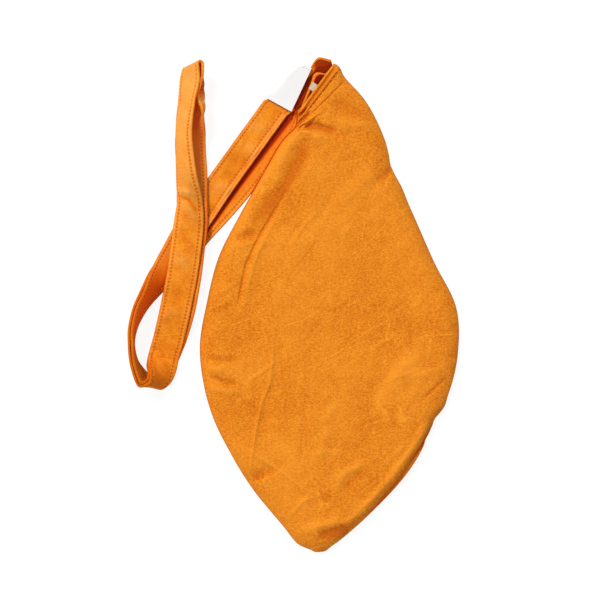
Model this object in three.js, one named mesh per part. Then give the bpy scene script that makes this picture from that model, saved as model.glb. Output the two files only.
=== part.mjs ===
// A cotton bead bag, flat and leaf-shaped, lying on its back with its carrying strap folded beside it.
// Millimetres, +Z up. The bag rests on Z = 0, its mouth is at the upper left and its tip points to -Y.
// The origin is on the underside, near the middle of the leaf.

import * as THREE from 'three';

// Bag body
const BAG_LENGTH = 355;
const BAG_WIDTH = 190;
const CLOTH_THICKNESS = 1;
const SEAM_HEIGHT = 3;
const CROWN_HEIGHT = 14;
const EDGE_ROLL = 15;
const UNDERSIDE_ROLL = 6;
const TIP_ROLL = 20;

// Mouth, whose doubled bands continue the two panels
const MOUTH_HEIGHT = 11;
const BAND_WIDTH = 13;
const BAND_THICKNESS = 1.5;
const BACK_RIM_BOW = 6.6;
const BACK_RIM_SKEW = 0.6;
const BAND_SEAM_BOW = 3.5;

// Strap: one strip of doubled cloth, laid as two stacked legs and a folded loop
const STRAP_WIDTH = 22.5;
const STRAP_THICKNESS = 1.5;
const LEG_LENGTH = 226;
const LOOP_LENGTH = 243;
const LEG_LAY_AZIMUTH = 244.7;
const LOOP_LAY_AZIMUTH = 81.2;
const STRAP_FOLD_OUT = 15.3;
const STRAP_FOLD_UP = 2.9;

// Sewn-on pieces
const LABEL_LENGTH = 35;
const LABEL_WIDTH = 20.5;
const LABEL_THICKNESS = 0.5;
const LABEL_AZIMUTH = 246.7;
const LABEL_OUT = 15.3;
const LABEL_DOWN = 2.6;
const LABEL_STITCH_INSET = 2;
const TAG_LENGTH = 13;
const TAG_WIDTH = 9;
const TAG_THICKNESS = 0.4;
const TAG_RIM_INSET = 2.5;
const THREAD_DIAMETER = 0.5;
const THREAD_SIDES = 6;
const STRAP_STITCH_INSET = 3;
const RIM_STITCH_INSET = 5;
const SEAM_BINDING_WIDTH = 4;
const SEAM_BINDING_THICKNESS = 0.8;

// Air left between two pieces that touch on the sewn bag
const GAP = 0.3;

// Cloth lies on cloth with room for a row of thread between them
const LAYER_STEP = STRAP_THICKNESS + THREAD_DIAMETER + 2 * GAP;

// The leaf's two edges from mouth to tip, in percent of the bag's width and length.
// Points of the same rank are the ends of one straight rung across the bag; the first rung is the mouth.
const LEFT_EDGE = [
  [37.8, 90.1], [37.3, 87.4], [32.2, 84.4], [24.2, 77.2], [14.9, 68.3], [7.6, 60.3], [3, 51.1], [0.3, 42.4],
  [1.8, 34.2], [5.7, 27.2], [12.2, 20.5], [21.8, 12.2], [32.6, 5], [38, 1.5], [43.4, 0.2],
];
const RIGHT_EDGE = [
  [51.3, 100], [56.1, 97.3], [64.2, 92.4], [71.1, 85], [74.9, 77.6], [81.8, 69.8], [90.3, 59.5], [98.8, 50.1],
  [99.5, 41], [96.1, 32.8], [88.8, 25.4], [80.3, 16.8], [66.5, 8.3], [54.9, 2.6], [49.5, 0.5],
];
const ORIGIN_SHARE = [50.3, 45.5];

const cotton = new THREE.MeshStandardMaterial({ color: 0xeb8a28, roughness: 0.9, metalness: 0 });
const strapCotton = new THREE.MeshStandardMaterial({ color: 0xf29434, roughness: 0.88, metalness: 0 });
const thread = new THREE.MeshStandardMaterial({ color: 0xd9741a, roughness: 0.7, metalness: 0 });
const labelCloth = new THREE.MeshStandardMaterial({ color: 0xf4f2ee, roughness: 0.6, metalness: 0 });

const bag = new THREE.Group();

function addPiece(name, geometry, material) {
  const mesh = new THREE.Mesh(geometry, material);
  mesh.name = name;
  bag.add(mesh);
  return mesh;
}

function radians(degrees) {
  return degrees * Math.PI / 180;
}

function clamp(value, low, high) {
  return Math.min(Math.max(value, low), high);
}

// Unit vector in the XY plane at an azimuth in degrees from +X.
function heading(azimuth) {
  return new THREE.Vector3(Math.cos(radians(azimuth)), Math.sin(radians(azimuth)), 0);
}

// Rise of a quarter circle: 0 at distance 0 and 1 from the distance "radius" on.
function quarterRound(distance, radius) {
  const left = 1 - clamp(distance / radius, 0, 1);
  return Math.sqrt(1 - left * left);
}

// Indexed geometry whose faces are turned outward, whichever way the quads were listed.
function facingOut(points, triangles) {
  let volume = 0;
  for (const [a, b, c] of triangles) {
    volume += points[a].dot(new THREE.Vector3().crossVectors(points[b], points[c]));
  }
  const turned = volume < 0 ? triangles.map(([a, b, c]) => [a, c, b]) : triangles;
  const geometry = new THREE.BufferGeometry();
  geometry.setAttribute('position', new THREE.Float32BufferAttribute(points.flatMap((p) => p.toArray()), 3));
  geometry.setIndex(turned.flat());
  geometry.computeVertexNormals();
  return geometry;
}

// A wall between two grids of points with the same rows and columns, closed round its four sides.
function wallBetween(outer, inner) {
  const rows = outer.length;
  const columns = outer[0].length;
  const points = [...outer.flat(), ...inner.flat()];
  const triangles = [];
  const at = (layer, row, column) => (layer * rows + row) * columns + column;
  const quad = (a, b, c, d) => triangles.push([a, b, c], [a, c, d]);
  for (let row = 0; row < rows - 1; row += 1) {
    for (let column = 0; column < columns - 1; column += 1) {
      quad(at(0, row, column), at(0, row, column + 1), at(0, row + 1, column + 1), at(0, row + 1, column));
      quad(at(1, row, column), at(1, row + 1, column), at(1, row + 1, column + 1), at(1, row, column + 1));
    }
    const last = columns - 1;
    quad(at(0, row, last), at(1, row, last), at(1, row + 1, last), at(0, row + 1, last));
    quad(at(0, row, 0), at(0, row + 1, 0), at(1, row + 1, 0), at(1, row, 0));
  }
  for (let column = 0; column < columns - 1; column += 1) {
    const end = rows - 1;
    quad(at(0, 0, column), at(1, 0, column), at(1, 0, column + 1), at(0, 0, column + 1));
    quad(at(0, end, column), at(0, end, column + 1), at(1, end, column + 1), at(1, end, column));
  }
  return facingOut(points, triangles);
}

// Plan of the bag

function bagPoint([across, along]) {
  return new THREE.Vector3(
    (across - ORIGIN_SHARE[0]) / 100 * BAG_WIDTH,
    (along - ORIGIN_SHARE[1]) / 100 * BAG_LENGTH,
    0,
  );
}

const leftEdge = new THREE.CatmullRomCurve3(LEFT_EDGE.map(bagPoint));
const rightEdge = new THREE.CatmullRomCurve3(RIGHT_EDGE.map(bagPoint));
const lowerCorner = leftEdge.getPoint(0);
const upperCorner = rightEdge.getPoint(0);
const tip = leftEdge.getPoint(1).lerp(rightEdge.getPoint(1), 0.5);
const mouthMiddle = lowerCorner.clone().lerp(upperCorner, 0.5);
const mouthDirection = upperCorner.clone().sub(lowerCorner).normalize();
const inward = new THREE.Vector3(mouthDirection.y, -mouthDirection.x, 0);

function rung(v) {
  const left = leftEdge.getPoint(clamp(v, 0, 1));
  const right = rightEdge.getPoint(clamp(v, 0, 1));
  const middle = left.clone().lerp(right, 0.5);
  return { left, right, middle, halfWidth: left.distanceTo(right) / 2 };
}

// Share of the way down the bag at which the bands end and the panels begin.
function shareAtRun(run) {
  let v = 0;
  while (rung(v).middle.sub(mouthMiddle).dot(inward) < run) {
    v += 0.0005;
  }
  return v;
}

// Share of the way down the bag at which a rung lies "distance" above the tip.
function shareAboveTip(distance) {
  let v = 1;
  while (rung(v).middle.distanceTo(tip) < distance) {
    v -= 0.0005;
  }
  return v;
}

const bandShare = shareAtRun(BAND_WIDTH - BAND_SEAM_BOW);
const bandEndShare = shareAtRun(BAND_WIDTH - BAND_SEAM_BOW - 2 * GAP);
const bowFadeShare = 3 * bandShare;

// How far the middle of a rung is pushed into the bag: the rim bows out and the band's seam bows in.
function rungBow(v, rimBow) {
  if (v < bandShare) {
    const share = v / bandShare;
    return THREE.MathUtils.lerp(-rimBow, BAND_SEAM_BOW, share);
  }
  const fade = clamp((v - bandShare) / (bowFadeShare - bandShare), 0, 1);
  return BAND_SEAM_BOW * (1 - fade) * (1 - fade);
}

// Height of the rolled edge at u across and v down the bag: 0 on the side seam, 1 on the flat of the cloth.
function edgeRise(u, v, roll) {
  const { halfWidth, middle } = rung(v);
  const sideDistance = (1 - Math.abs(u)) * halfWidth;
  return quarterRound(sideDistance, roll) * quarterRound(middle.distanceTo(tip), TIP_ROLL);
}

// The back rim bows out most near the mouth's upper corner.
function rimSkew(side, u, v) {
  return side === 'front' ? 1 : 1 + BACK_RIM_SKEW * u * clamp(1 - v / bandShare, 0, 1);
}

function frontHeight(u, v) {
  const mouthToCrown = THREE.MathUtils.smoothstep(v, 0, 0.3);
  const top = THREE.MathUtils.lerp(MOUTH_HEIGHT, CROWN_HEIGHT, mouthToCrown) - SEAM_HEIGHT - GAP / 2;
  return top * (0.8 + 0.2 * (1 - u * u));
}

// A point of the front or back cloth, "depth" mm in from its outer face. The rim stays in the seam's plane.
function clothPoint(side, u, v, depth) {
  const sideShare = 1 - depth / rung(v).halfWidth;
  const inU = u * sideShare;
  const inV = v * (1 - depth / BAG_LENGTH);
  const { left, right } = rung(inV);
  const rimBow = side === 'front' ? 0 : BACK_RIM_BOW;
  const point = left.clone().lerp(right, (inU + 1) / 2);
  point.addScaledVector(inward, rungBow(v, rimBow) * (1 - u * u) * rimSkew(side, u, v));
  if (side === 'front') {
    point.z = SEAM_HEIGHT + GAP / 2 + (frontHeight(u, v) - depth) * edgeRise(u, v, EDGE_ROLL);
  } else {
    point.z = (SEAM_HEIGHT - GAP / 2) - (SEAM_HEIGHT - GAP / 2 - depth) * edgeRise(u, v, UNDERSIDE_ROLL);
  }
  return point;
}

// Where the grid's lines cross a rolled edge, as shares of the roll's width.
const ROLL_SHARES = [0, 0.05, 0.2, 0.5, 1];

// Columns across a rung: over the two rolled edges, then evenly over the flat between them.
function acrossShares(v, roll, flatColumns) {
  const { halfWidth } = rung(v);
  const width = Math.min(roll, 0.75 * halfWidth) / halfWidth;
  const left = ROLL_SHARES.map((share) => -1 + share * width);
  const flat = Array.from(
    { length: flatColumns - 1 },
    (_, i) => (1 - width) * (2 * (i + 1) / flatColumns - 1),
  );
  return [...left, ...flat, ...left.map((u) => -u).reverse()];
}

// Rows down the bag from a share: evenly to the rolled tip, then over it.
function rowsToTip(from, count) {
  const rolled = ROLL_SHARES.map((share) => shareAboveTip(share * TIP_ROLL)).reverse();
  const even = Array.from({ length: count }, (_, i) => THREE.MathUtils.lerp(from, rolled[0], i / count));
  return [...even, ...rolled];
}

function clothWall(side, rows, flatColumns, thickness) {
  const roll = side === 'front' ? EDGE_ROLL : UNDERSIDE_ROLL;
  const grid = (depth) => rows.map(
    (v) => acrossShares(v, roll, flatColumns).map((u) => clothPoint(side, u, v, depth)),
  );
  return wallBetween(grid(0), grid(thickness));
}

const panelRows = rowsToTip(bandShare, 22);
const bandRows = [0, 1 / 3, 2 / 3, 1].map((share) => share * bandEndShare);
addPiece('front_panel', clothWall('front', panelRows, 8, CLOTH_THICKNESS), cotton);
addPiece('back_panel', clothWall('back', panelRows, 4, CLOTH_THICKNESS), cotton);
addPiece('front_mouth_band', clothWall('front', bandRows, 6, BAND_THICKNESS), cotton);
addPiece('back_mouth_band', clothWall('back', bandRows, 4, BAND_THICKNESS), cotton);

// The thread that binds the side seam's raw edges is a flat strip inside the leaf, open at the mouth.
function seamBindingShape() {
  const steps = 36;
  const outerInset = CLOTH_THICKNESS + 4 * GAP;
  const innerInset = outerInset + SEAM_BINDING_WIDTH;
  const loop = (inset) => {
    const end = shareAboveTip(3 * inset);
    const rungs = Array.from(
      { length: steps + 1 },
      (_, i) => rung(THREE.MathUtils.lerp(bandShare + 0.02, end, i / steps)),
    );
    const toMiddle = ({ left, right, halfWidth }, start) => {
      const share = Math.min(inset / (2 * halfWidth), 0.45);
      return start === 'left' ? left.clone().lerp(right, share) : right.clone().lerp(left, share);
    };
    return [
      ...rungs.map((r) => toMiddle(r, 'left')),
      ...rungs.map((r) => toMiddle(r, 'right')).reverse(),
    ];
  };
  const outline = [...loop(outerInset), ...loop(innerInset).reverse()];
  return new THREE.Shape(outline.map((p) => new THREE.Vector2(p.x, p.y)));
}

const seamBinding = new THREE.ExtrudeGeometry(seamBindingShape(), {
  depth: SEAM_BINDING_THICKNESS, bevelEnabled: false,
});
addPiece('seam_binding', seamBinding, thread).position.z = SEAM_HEIGHT - SEAM_BINDING_THICKNESS / 2;

// Strap

// A strip's stations carry its centre, the unit vector across it and its face normal.
function stripWall(stations, halfWidth, halfThickness) {
  const corner = (s, across, up) => s.centre.clone()
    .addScaledVector(s.across, across * halfWidth)
    .addScaledVector(s.normal, up * halfThickness);
  const face = (up) => stations.map((s) => [-1, -0.5, 0, 0.5, 1].map((across) => corner(s, across, up)));
  return wallBetween(face(1), face(-1));
}

// Smooth interpolation of a list of numbers at a fractional index (Catmull-Rom).
function smoothValue(list, position) {
  const index = clamp(Math.floor(position), 0, list.length - 2);
  const share = position - index;
  const p0 = list[Math.max(index - 1, 0)];
  const p1 = list[index];
  const p2 = list[index + 1];
  const p3 = list[Math.min(index + 2, list.length - 1)];
  const v0 = (p2 - p0) / 2;
  const v1 = (p3 - p1) / 2;
  const s2 = share * share;
  const s3 = s2 * share;
  return (2 * p1 - 2 * p2 + v0 + v1) * s3 + (-3 * p1 + 3 * p2 - 2 * v0 - v1) * s2 + v0 * share + p1;
}

// Lay of a strip: rows of percent along, strap widths across, azimuth and tilt of the width, and two extras.
// Tilt 0 lies flat, and a positive tilt lowers the edge that the width points to.
function layStations(rows, origin, alongDirection, length, stepsPerRow) {
  const acrossDirection = new THREE.Vector3(alongDirection.y, -alongDirection.x, 0);
  if (acrossDirection.x < 0) {
    acrossDirection.negate();
  }
  const column = (k) => rows.map((row) => row[k]);
  const count = (rows.length - 1) * stepsPerRow;
  const stations = [];
  for (let i = 0; i <= count; i += 1) {
    const position = i / stepsPerRow;
    const value = (k) => smoothValue(column(k), position);
    const centre = origin.clone()
      .addScaledVector(alongDirection, value(0) / 100 * length)
      .addScaledVector(acrossDirection, value(1) * STRAP_WIDTH);
    const tilt = radians(value(3));
    const across = heading(value(2)).multiplyScalar(Math.cos(tilt));
    across.z = -Math.sin(tilt);
    stations.push({ centre, across, tilt, extra: value(4), shift: rows[0].length > 5 ? value(5) : 0 });
  }
  stations.forEach((station, i) => {
    const before = stations[Math.max(i - 1, 0)].centre;
    const after = stations[Math.min(i + 1, count)].centre;
    const run = after.clone().sub(before).setZ(0).normalize();
    station.normal = new THREE.Vector3().crossVectors(run, station.across).normalize();
  });
  return stations;
}

// Height of a strip's centre when its lower edge rests at the height "base".
function restingHeight(station, base) {
  const { tilt } = station;
  return base + STRAP_WIDTH / 2 * Math.abs(Math.sin(tilt)) + STRAP_THICKNESS / 2 * Math.cos(tilt);
}

const strapFold = lowerCorner.clone().add(new THREE.Vector3(-STRAP_FOLD_OUT, STRAP_FOLD_UP, 0));
const legDirection = heading(LEG_LAY_AZIMUTH);
const loopDirection = heading(LOOP_LAY_AZIMUTH);
const lowerTurn = strapFold.clone().addScaledVector(legDirection, LEG_LENGTH);

// The upper leg lies flat from the bag, rises on edge and turns round at the lower left.
// The last two values of a row are the lower leg's extra distance down, in layer steps, and its shift
// across, in strap widths.
const LEG_LAY = [
  [0, 0, -35, 0, 0, 0.19],
  [9, -0.17, -35, 0, 0, 0.25],
  [18, -0.34, -35, 0, 0, 0.31],
  [29.4, -0.55, -35, 0, 0, 0.4],
  [38.6, -0.71, -35, 0, 0, 0.33],
  [47.8, -0.87, -34, 2, 0, 0.22],
  [58.8, -0.95, -34, 14, 0, 0.11],
  [69.7, -1.1, -32, 58, 0.15, 0],
  [77.4, -1.18, -25, 74, 0.31, 0],
  [83.8, -1.11, -10, 84, 0.38, 0],
  [88.6, -0.92, 5, 88, 0.38, 0],
  [92.7, -0.65, 16, 88, 0.38, 0],
  [95.4, -0.38, 18, 86, 0.46, 0],
  [97.6, -0.08, 4, 80, 0.62, 0],
  [96.9, 0.18, -34, 66, 0.46, 0],
  [94.6, 0.25, -24, 46, 0.15, 0],
  [91.8, 0.2, -15, 22, 0, 0],
  [88.3, 0.13, -13, 0, 0, 0],
];
const STEPS_PER_ROW = 3;

const upperLeg = layStations(LEG_LAY, strapFold, legDirection, LEG_LENGTH, STEPS_PER_ROW);
upperLeg.forEach((station) => {
  station.layerStep = LAYER_STEP * (1 + station.extra);
  station.sideStep = STRAP_WIDTH * station.shift;
  const lowerLegDrop = station.normal.z * station.layerStep - station.across.z * station.sideStep;
  station.centre.z = restingHeight(station, Math.max(lowerLegDrop, 0));
});
const lowerLeg = upperLeg.map((station) => ({
  ...station,
  centre: station.centre.clone()
    .addScaledVector(station.normal, -station.layerStep)
    .addScaledVector(station.across, station.sideStep),
}));

// Both layers of the loop start where the legs end; the front one is the lower leg's continuation.
const loopStart = upperLeg.at(-1);

// Rows from the turn to the top: percent along, widths across, azimuth, tilt and the lower edge's height in
// layer steps. The loop climbs over the legs where it crosses them.
const LOOP_BACK_LAY = [
  [16.2, 0.62, -14, 0, 0.96],
  [24.8, 0.75, -13, 0, 2.85],
  [35.3, 0.79, -12, 0, 3.3],
  [44.2, 0.76, -8, 0, 3.2],
  [51, 0.73, -3, 0, 2.8],
  [58.3, 0.6, 0, 0, 2.25],
  [66, 0.47, 1, 0, 2.1],
  [75.7, 0.25, 0, 0, 1.35],
  [81.3, 0.14, -3, -14, 0.77],
  [87.9, 0.1, -7, -36, 0.62],
  [93.2, 0.09, -9, -50, 0.54],
  [97, 0.1, -10, -52, 0.54],
];
const LOOP_FRONT_LAY = [
  [16.2, 0.54, -14, 0, 0.96],
  [24.8, 0.61, -13, 0, 2.85],
  [35.3, 0.66, -12, 0, 3.3],
  [44.2, 0.65, -8, -8, 3.2],
  [51, 0.63, -3, -24, 2.8],
  [58.3, 0.53, 0, -39, 2.25],
  [66, 0.34, 2, -49, 2.1],
  [75.7, 0.08, 1, -58, 1.35],
  [81.3, -0.02, -3, -60, 0.77],
  [87.9, -0.07, -7, -56, 0.62],
  [93.2, -0.08, -9, -53, 0.54],
  [97, -0.09, -10, -52, 0.54],
];

function loopLayer(rows, start, layer) {
  const stations = layStations(rows, lowerTurn, loopDirection, LOOP_LENGTH, 2);
  stations.forEach((station) => {
    station.centre.z = restingHeight(station, (station.extra + layer) * LAYER_STEP);
  });
  const first = { ...start, normal: stations[0].normal.clone() };
  first.centre = start.centre.clone().addScaledVector(loopDirection, GAP);
  const half = {
    ...first,
    centre: first.centre.clone().lerp(stations[0].centre, 0.5),
    across: first.across.clone().lerp(stations[0].across, 0.5).normalize(),
  };
  return [first, half, ...stations];
}

const loopBack = loopLayer(LOOP_BACK_LAY, loopStart, 0);
const loopFront = loopLayer(LOOP_FRONT_LAY, lowerLeg.at(-1), 1);

// At the top the strip turns over through half a circle from the front layer to the back one.
function loopFold() {
  const from = loopFront.at(-1);
  const to = loopBack.at(-1);
  const middle = from.centre.clone().lerp(to.centre, 0.5);
  const spread = to.centre.clone().sub(from.centre);
  const radius = spread.length() / 2;
  const outwards = spread.clone().normalize();
  const run = new THREE.Vector3().crossVectors(from.across, outwards).normalize();
  if (run.dot(loopDirection) < 0) {
    run.negate();
  }
  return [30, 60, 90, 120, 150].map((angle) => {
    const normal = outwards.clone().multiplyScalar(Math.cos(radians(angle)))
      .addScaledVector(run, -Math.sin(radians(angle)));
    return {
      centre: middle.clone().addScaledVector(normal, -radius),
      across: from.across.clone(),
      normal,
    };
  });
}

const turnedBack = loopBack.map((s) => ({ ...s, normal: s.normal.clone().negate() })).reverse();
const loopStrip = [...loopFront, ...loopFold(), ...turnedBack];

addPiece('strap_upper_leg', stripWall(upperLeg, STRAP_WIDTH / 2, STRAP_THICKNESS / 2), strapCotton);
addPiece('strap_lower_leg', stripWall(lowerLeg, STRAP_WIDTH / 2, STRAP_THICKNESS / 2), strapCotton);
addPiece('strap_loop', stripWall(loopStrip, STRAP_WIDTH / 2, STRAP_THICKNESS / 2), strapCotton);

// Strap ends, sewn at the mouth's two corners

const outward = inward.clone().negate();
const endClearance = upperLeg[0].across.clone().cross(new THREE.Vector3(0, 0, 1)).multiplyScalar(GAP);
if (endClearance.dot(legDirection) > 0) {
  endClearance.negate();
}

// A flat strip whose two edges and middle heights are given row by row.
function platedStrip(rows, thickness) {
  const face = (up) => rows.map(({ first, second, height }) => [first, second].map(
    (edge) => new THREE.Vector3(edge.x, edge.y, height + up * thickness / 2),
  ));
  return wallBetween(face(1), face(-1));
}

function stripEdges(station) {
  return {
    first: station.centre.clone().addScaledVector(station.across, -STRAP_WIDTH / 2).add(endClearance),
    second: station.centre.clone().addScaledVector(station.across, STRAP_WIDTH / 2).add(endClearance),
    height: station.centre.z,
  };
}

// A strap end runs along the back rim, which it clears by the gap. Rows carry the place along the rim, the
// outer edge's offset from the mouth's upper corner in strap widths and the height of the end's middle.
function stripEnd(stations, rows) {
  return platedStrip([stripEdges(stations[0]), ...rows.map(([u, x, y, height]) => ({
    first: upperCorner.clone().add(new THREE.Vector3(x, y, 0).multiplyScalar(STRAP_WIDTH)),
    second: clothPoint('back', u, 0, 0).addScaledVector(outward, GAP),
    height,
  }))], STRAP_THICKNESS);
}

const floorHeight = STRAP_THICKNESS / 2;
const stackedHeight = STRAP_THICKNESS + GAP + STRAP_THICKNESS / 2;
const cornerHeight = floorHeight + THREAD_DIAMETER;
const UPPER_END = [
  [-0.5, -1.8, -0.88, stackedHeight],
  [-0.1, -1.32, -0.29, stackedHeight],
  [0.3, -0.86, -0.02, (stackedHeight + cornerHeight) / 2],
  [0.5, -0.6, 0.21, cornerHeight],
  [0.7, -0.34, 0.26, cornerHeight],
  [0.87, -0.07, 0.1, cornerHeight],
];
const LOWER_END = [
  [-0.9, -1.91, -0.93, floorHeight],
  [-0.6, -1.73, -0.8, floorHeight],
  [-0.3, -1.38, -0.71, floorHeight],
];
addPiece('strap_upper_end', stripEnd(upperLeg, UPPER_END), strapCotton);
addPiece('strap_lower_end', stripEnd(lowerLeg, LOWER_END), strapCotton);

// Label and care tag

const labelDirection = heading(LABEL_AZIMUTH);
const labelAcross = heading(LABEL_AZIMUTH - 90);
const labelCorner = upperCorner.clone().add(new THREE.Vector3(-LABEL_OUT, -LABEL_DOWN, 0));
const labelHeight = upperLeg[0].centre.z + STRAP_THICKNESS / 2 + GAP;

// Plan of the label from its sewn end, as shares of its length and width. Its upper left side turns away.
const LABEL_PLAN = [[0, 0], [1, 0], [0.955, 1], [0.4, 0.73], [0.04, 0.41]];

function flatPlate(shares, corner, along, across, length, width, thickness, height) {
  const points = shares.map(([a, b]) => {
    const point = corner.clone().addScaledVector(along, a * length).addScaledVector(across, b * width);
    return new THREE.Vector2(point.x, point.y);
  });
  const plan = new THREE.Shape(points);
  const geometry = new THREE.ExtrudeGeometry(plan, { depth: thickness, bevelEnabled: false });
  return geometry.translate(0, 0, height);
}

const label = flatPlate(
  LABEL_PLAN, labelCorner, labelDirection, labelAcross,
  LABEL_LENGTH, LABEL_WIDTH, LABEL_THICKNESS, labelHeight,
);
addPiece('woven_label', label, labelCloth);

// The tag is sewn by its inner end to the back band and points out of the mouth.
const tagHeight = BAND_THICKNESS + THREAD_DIAMETER + 2 * GAP;
const tagEnd = mouthMiddle.clone()
  .addScaledVector(inward, TAG_LENGTH - BACK_RIM_BOW + TAG_RIM_INSET)
  .addScaledVector(mouthDirection, -TAG_WIDTH / 2);
const TAG_PLAN = [[0, 0], [1, 0], [1, 1], [0, 1]];
const tag = flatPlate(
  TAG_PLAN, tagEnd, outward, mouthDirection, TAG_LENGTH, TAG_WIDTH, TAG_THICKNESS, tagHeight,
);
addPiece('care_tag', tag, labelCloth);

// Rows of thread, each a tube that lies on the cloth it holds

const threadLift = GAP + THREAD_DIAMETER / 2;
const threadSection = new THREE.Shape(Array.from({ length: THREAD_SIDES }, (_, i) => new THREE.Vector2(
  THREAD_DIAMETER / 2 * Math.cos(i * 2 * Math.PI / THREAD_SIDES),
  THREAD_DIAMETER / 2 * Math.sin(i * 2 * Math.PI / THREAD_SIDES),
)));

function threadAlong(points, steps) {
  const path = new THREE.CatmullRomCurve3(points);
  return new THREE.ExtrudeGeometry(threadSection, { steps, extrudePath: path, bevelEnabled: false });
}

// The thread is on the strip's upper side. It stops one station short of the strip's ends and of the place
// where the strip turns over.
function stripThread(stations, acrossShare, faceSide) {
  const reach = STRAP_WIDTH / 2 - STRAP_STITCH_INSET;
  const upright = stations.filter((s) => s.normal.z * faceSide > 0.3).slice(1, -1);
  const points = upright.map((s) => s.centre.clone()
    .addScaledVector(s.across, acrossShare * reach)
    .addScaledVector(s.normal, faceSide * (STRAP_THICKNESS / 2 + threadLift)));
  return threadAlong(points, Math.round(points.length * 1.2));
}

for (const [edge, share] of [['outer', -1], ['inner', 1]]) {
  addPiece(`upper_leg_${edge}_thread`, stripThread(upperLeg, share, 1), thread);
  addPiece(`lower_leg_${edge}_thread`, stripThread(lowerLeg, share, 1), thread);
  addPiece(`loop_${edge}_thread`, stripThread(loopFront, share, -1), thread);
}

function rimThread(side, depth) {
  const v = bandEndShare * RIM_STITCH_INSET / BAND_WIDTH;
  const shares = Array.from({ length: 13 }, (_, i) => -0.84 + 1.68 * i / 12);
  return threadAlong(shares.map((u) => clothPoint(side, u, v, depth)), 24);
}

addPiece('front_rim_thread', rimThread('front', -threadLift), thread);
addPiece('back_rim_thread', rimThread('back', BAND_THICKNESS + threadLift), thread);

const labelStitchStart = labelCorner.clone()
  .addScaledVector(labelDirection, LABEL_STITCH_INSET)
  .addScaledVector(labelAcross, LABEL_STITCH_INSET / 2);
const labelStitchEnd = labelStitchStart.clone().addScaledVector(labelAcross, 0.35 * LABEL_WIDTH);
const labelStitch = threadAlong(
  [labelStitchStart, labelStitchStart.clone().lerp(labelStitchEnd, 0.5), labelStitchEnd],
  4,
);
addPiece('label_thread', labelStitch.translate(0, 0, labelHeight + LABEL_THICKNESS + threadLift), thread);

export default bag;
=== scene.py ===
from math import pi, radians

import bpy
import numpy as np
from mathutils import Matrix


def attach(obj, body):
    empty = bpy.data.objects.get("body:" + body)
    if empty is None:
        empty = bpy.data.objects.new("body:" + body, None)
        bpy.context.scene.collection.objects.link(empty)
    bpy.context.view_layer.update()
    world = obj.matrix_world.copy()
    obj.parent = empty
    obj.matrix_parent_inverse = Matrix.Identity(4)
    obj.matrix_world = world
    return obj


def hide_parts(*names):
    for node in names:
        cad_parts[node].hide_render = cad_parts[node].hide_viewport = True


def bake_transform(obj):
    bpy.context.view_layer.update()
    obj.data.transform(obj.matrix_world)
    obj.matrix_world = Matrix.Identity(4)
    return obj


# A cotton bead bag lying on its back, dressed over its fixed frame.
# Sizes are in millimetres until a mesh is made. The mouth is at the upper left, the tip points to -Y.

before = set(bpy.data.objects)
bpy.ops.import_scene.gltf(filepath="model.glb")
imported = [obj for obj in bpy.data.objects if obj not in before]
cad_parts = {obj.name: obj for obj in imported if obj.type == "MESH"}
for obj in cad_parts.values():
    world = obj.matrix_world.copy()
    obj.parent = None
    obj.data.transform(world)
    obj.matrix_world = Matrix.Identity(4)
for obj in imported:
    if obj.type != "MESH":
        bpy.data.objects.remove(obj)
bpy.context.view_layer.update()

MM = 0.001

# Sizes of the bag body
BAG_LENGTH = 355
BAG_WIDTH = 190
CLOTH = 0.9
SEAM_HEIGHT = 3
SEAM_PARTING = 0.12
CROWN_HEIGHT = 13.4
SIDE_ROLL = 14
UNDERSIDE_ROLL = 6
TIP_ROLL = 18
TIP_BOW = 1.7

# Sizes of the mouth
MOUTH_HEIGHT = 10.6
BAND_WIDTH = 10.5
BAND_MIDDLE_RUN = 9.5
BAND_THICKNESS = 1.5
BAND_SEAM_BOW = 0.6

# Sizes of the strap
STRAP_WIDTH = 22.5
HALF_STRAP = STRAP_WIDTH / 2
STRAP_THICKNESS = 1.5
LEG_LENGTH = 226
LOOP_LENGTH = 243
LEG_AZIMUTH = 244.7
LOOP_AZIMUTH = 81.2
LAYER_STEP = 2.6
STITCH_INSET = 3
INNER_ROW_INSET = 4.8
HEM_LINE_INSET = 2.1
STITCH_PITCH = 2.6

# The leaf's two edges in percent of width and length, from the mouth to the tip
LEFT_EDGE = np.array([
    [37.8, 90.1], [37.3, 87.4], [32.2, 84.4], [24.2, 77.2], [14.9, 68.3], [7.6, 60.3], [3, 51.1], [0.3, 42.4],
    [1.8, 34.2], [5.7, 27.2], [12.2, 20.5], [21.8, 12.2], [32.6, 5], [38, 1.5], [43.4, 0.2],
])
RIGHT_EDGE = np.array([
    [51.3, 100], [56.1, 97.3], [64.2, 92.4], [71.1, 85], [74.9, 77.6], [81.8, 69.8], [90.3, 59.5],
    [98.8, 50.1], [99.5, 41], [96.1, 32.8], [88.8, 25.4], [80.3, 16.8], [66.5, 8.3], [54.9, 2.6], [49.5, 0.5],
])
LEAF_CENTRE = np.array([50.3, 45.5])


# Arithmetic on whole arrays

def smoothstep(low, high, x):
    """0 below low, 1 above high, and 3t^2 - 2t^3 of the share t between them."""
    t = np.clip((x - low) / (high - low), 0, 1)
    return t * t * (3 - 2 * t)


def bell(offset, width):
    """1 at offset 0, and exp(-(offset / width)^2) to both sides of it."""
    return np.exp(-((offset / width) ** 2))


def quarter_round(distance, radius):
    """Height of a quarter circle of radius 1 at a distance from its foot, in shares of the radius."""
    left = 1 - np.clip(distance / radius, 0, 1)
    return np.sqrt(1 - left * left)


def unit(vectors):
    """Vectors divided by their lengths."""
    return vectors / np.maximum(np.linalg.norm(vectors, axis=-1, keepdims=True), 1e-9)


def heading(azimuth):
    """Unit vector in the floor's plane at an azimuth in degrees from +X."""
    return np.array([np.cos(radians(azimuth)), np.sin(radians(azimuth)), 0.0])


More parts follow.
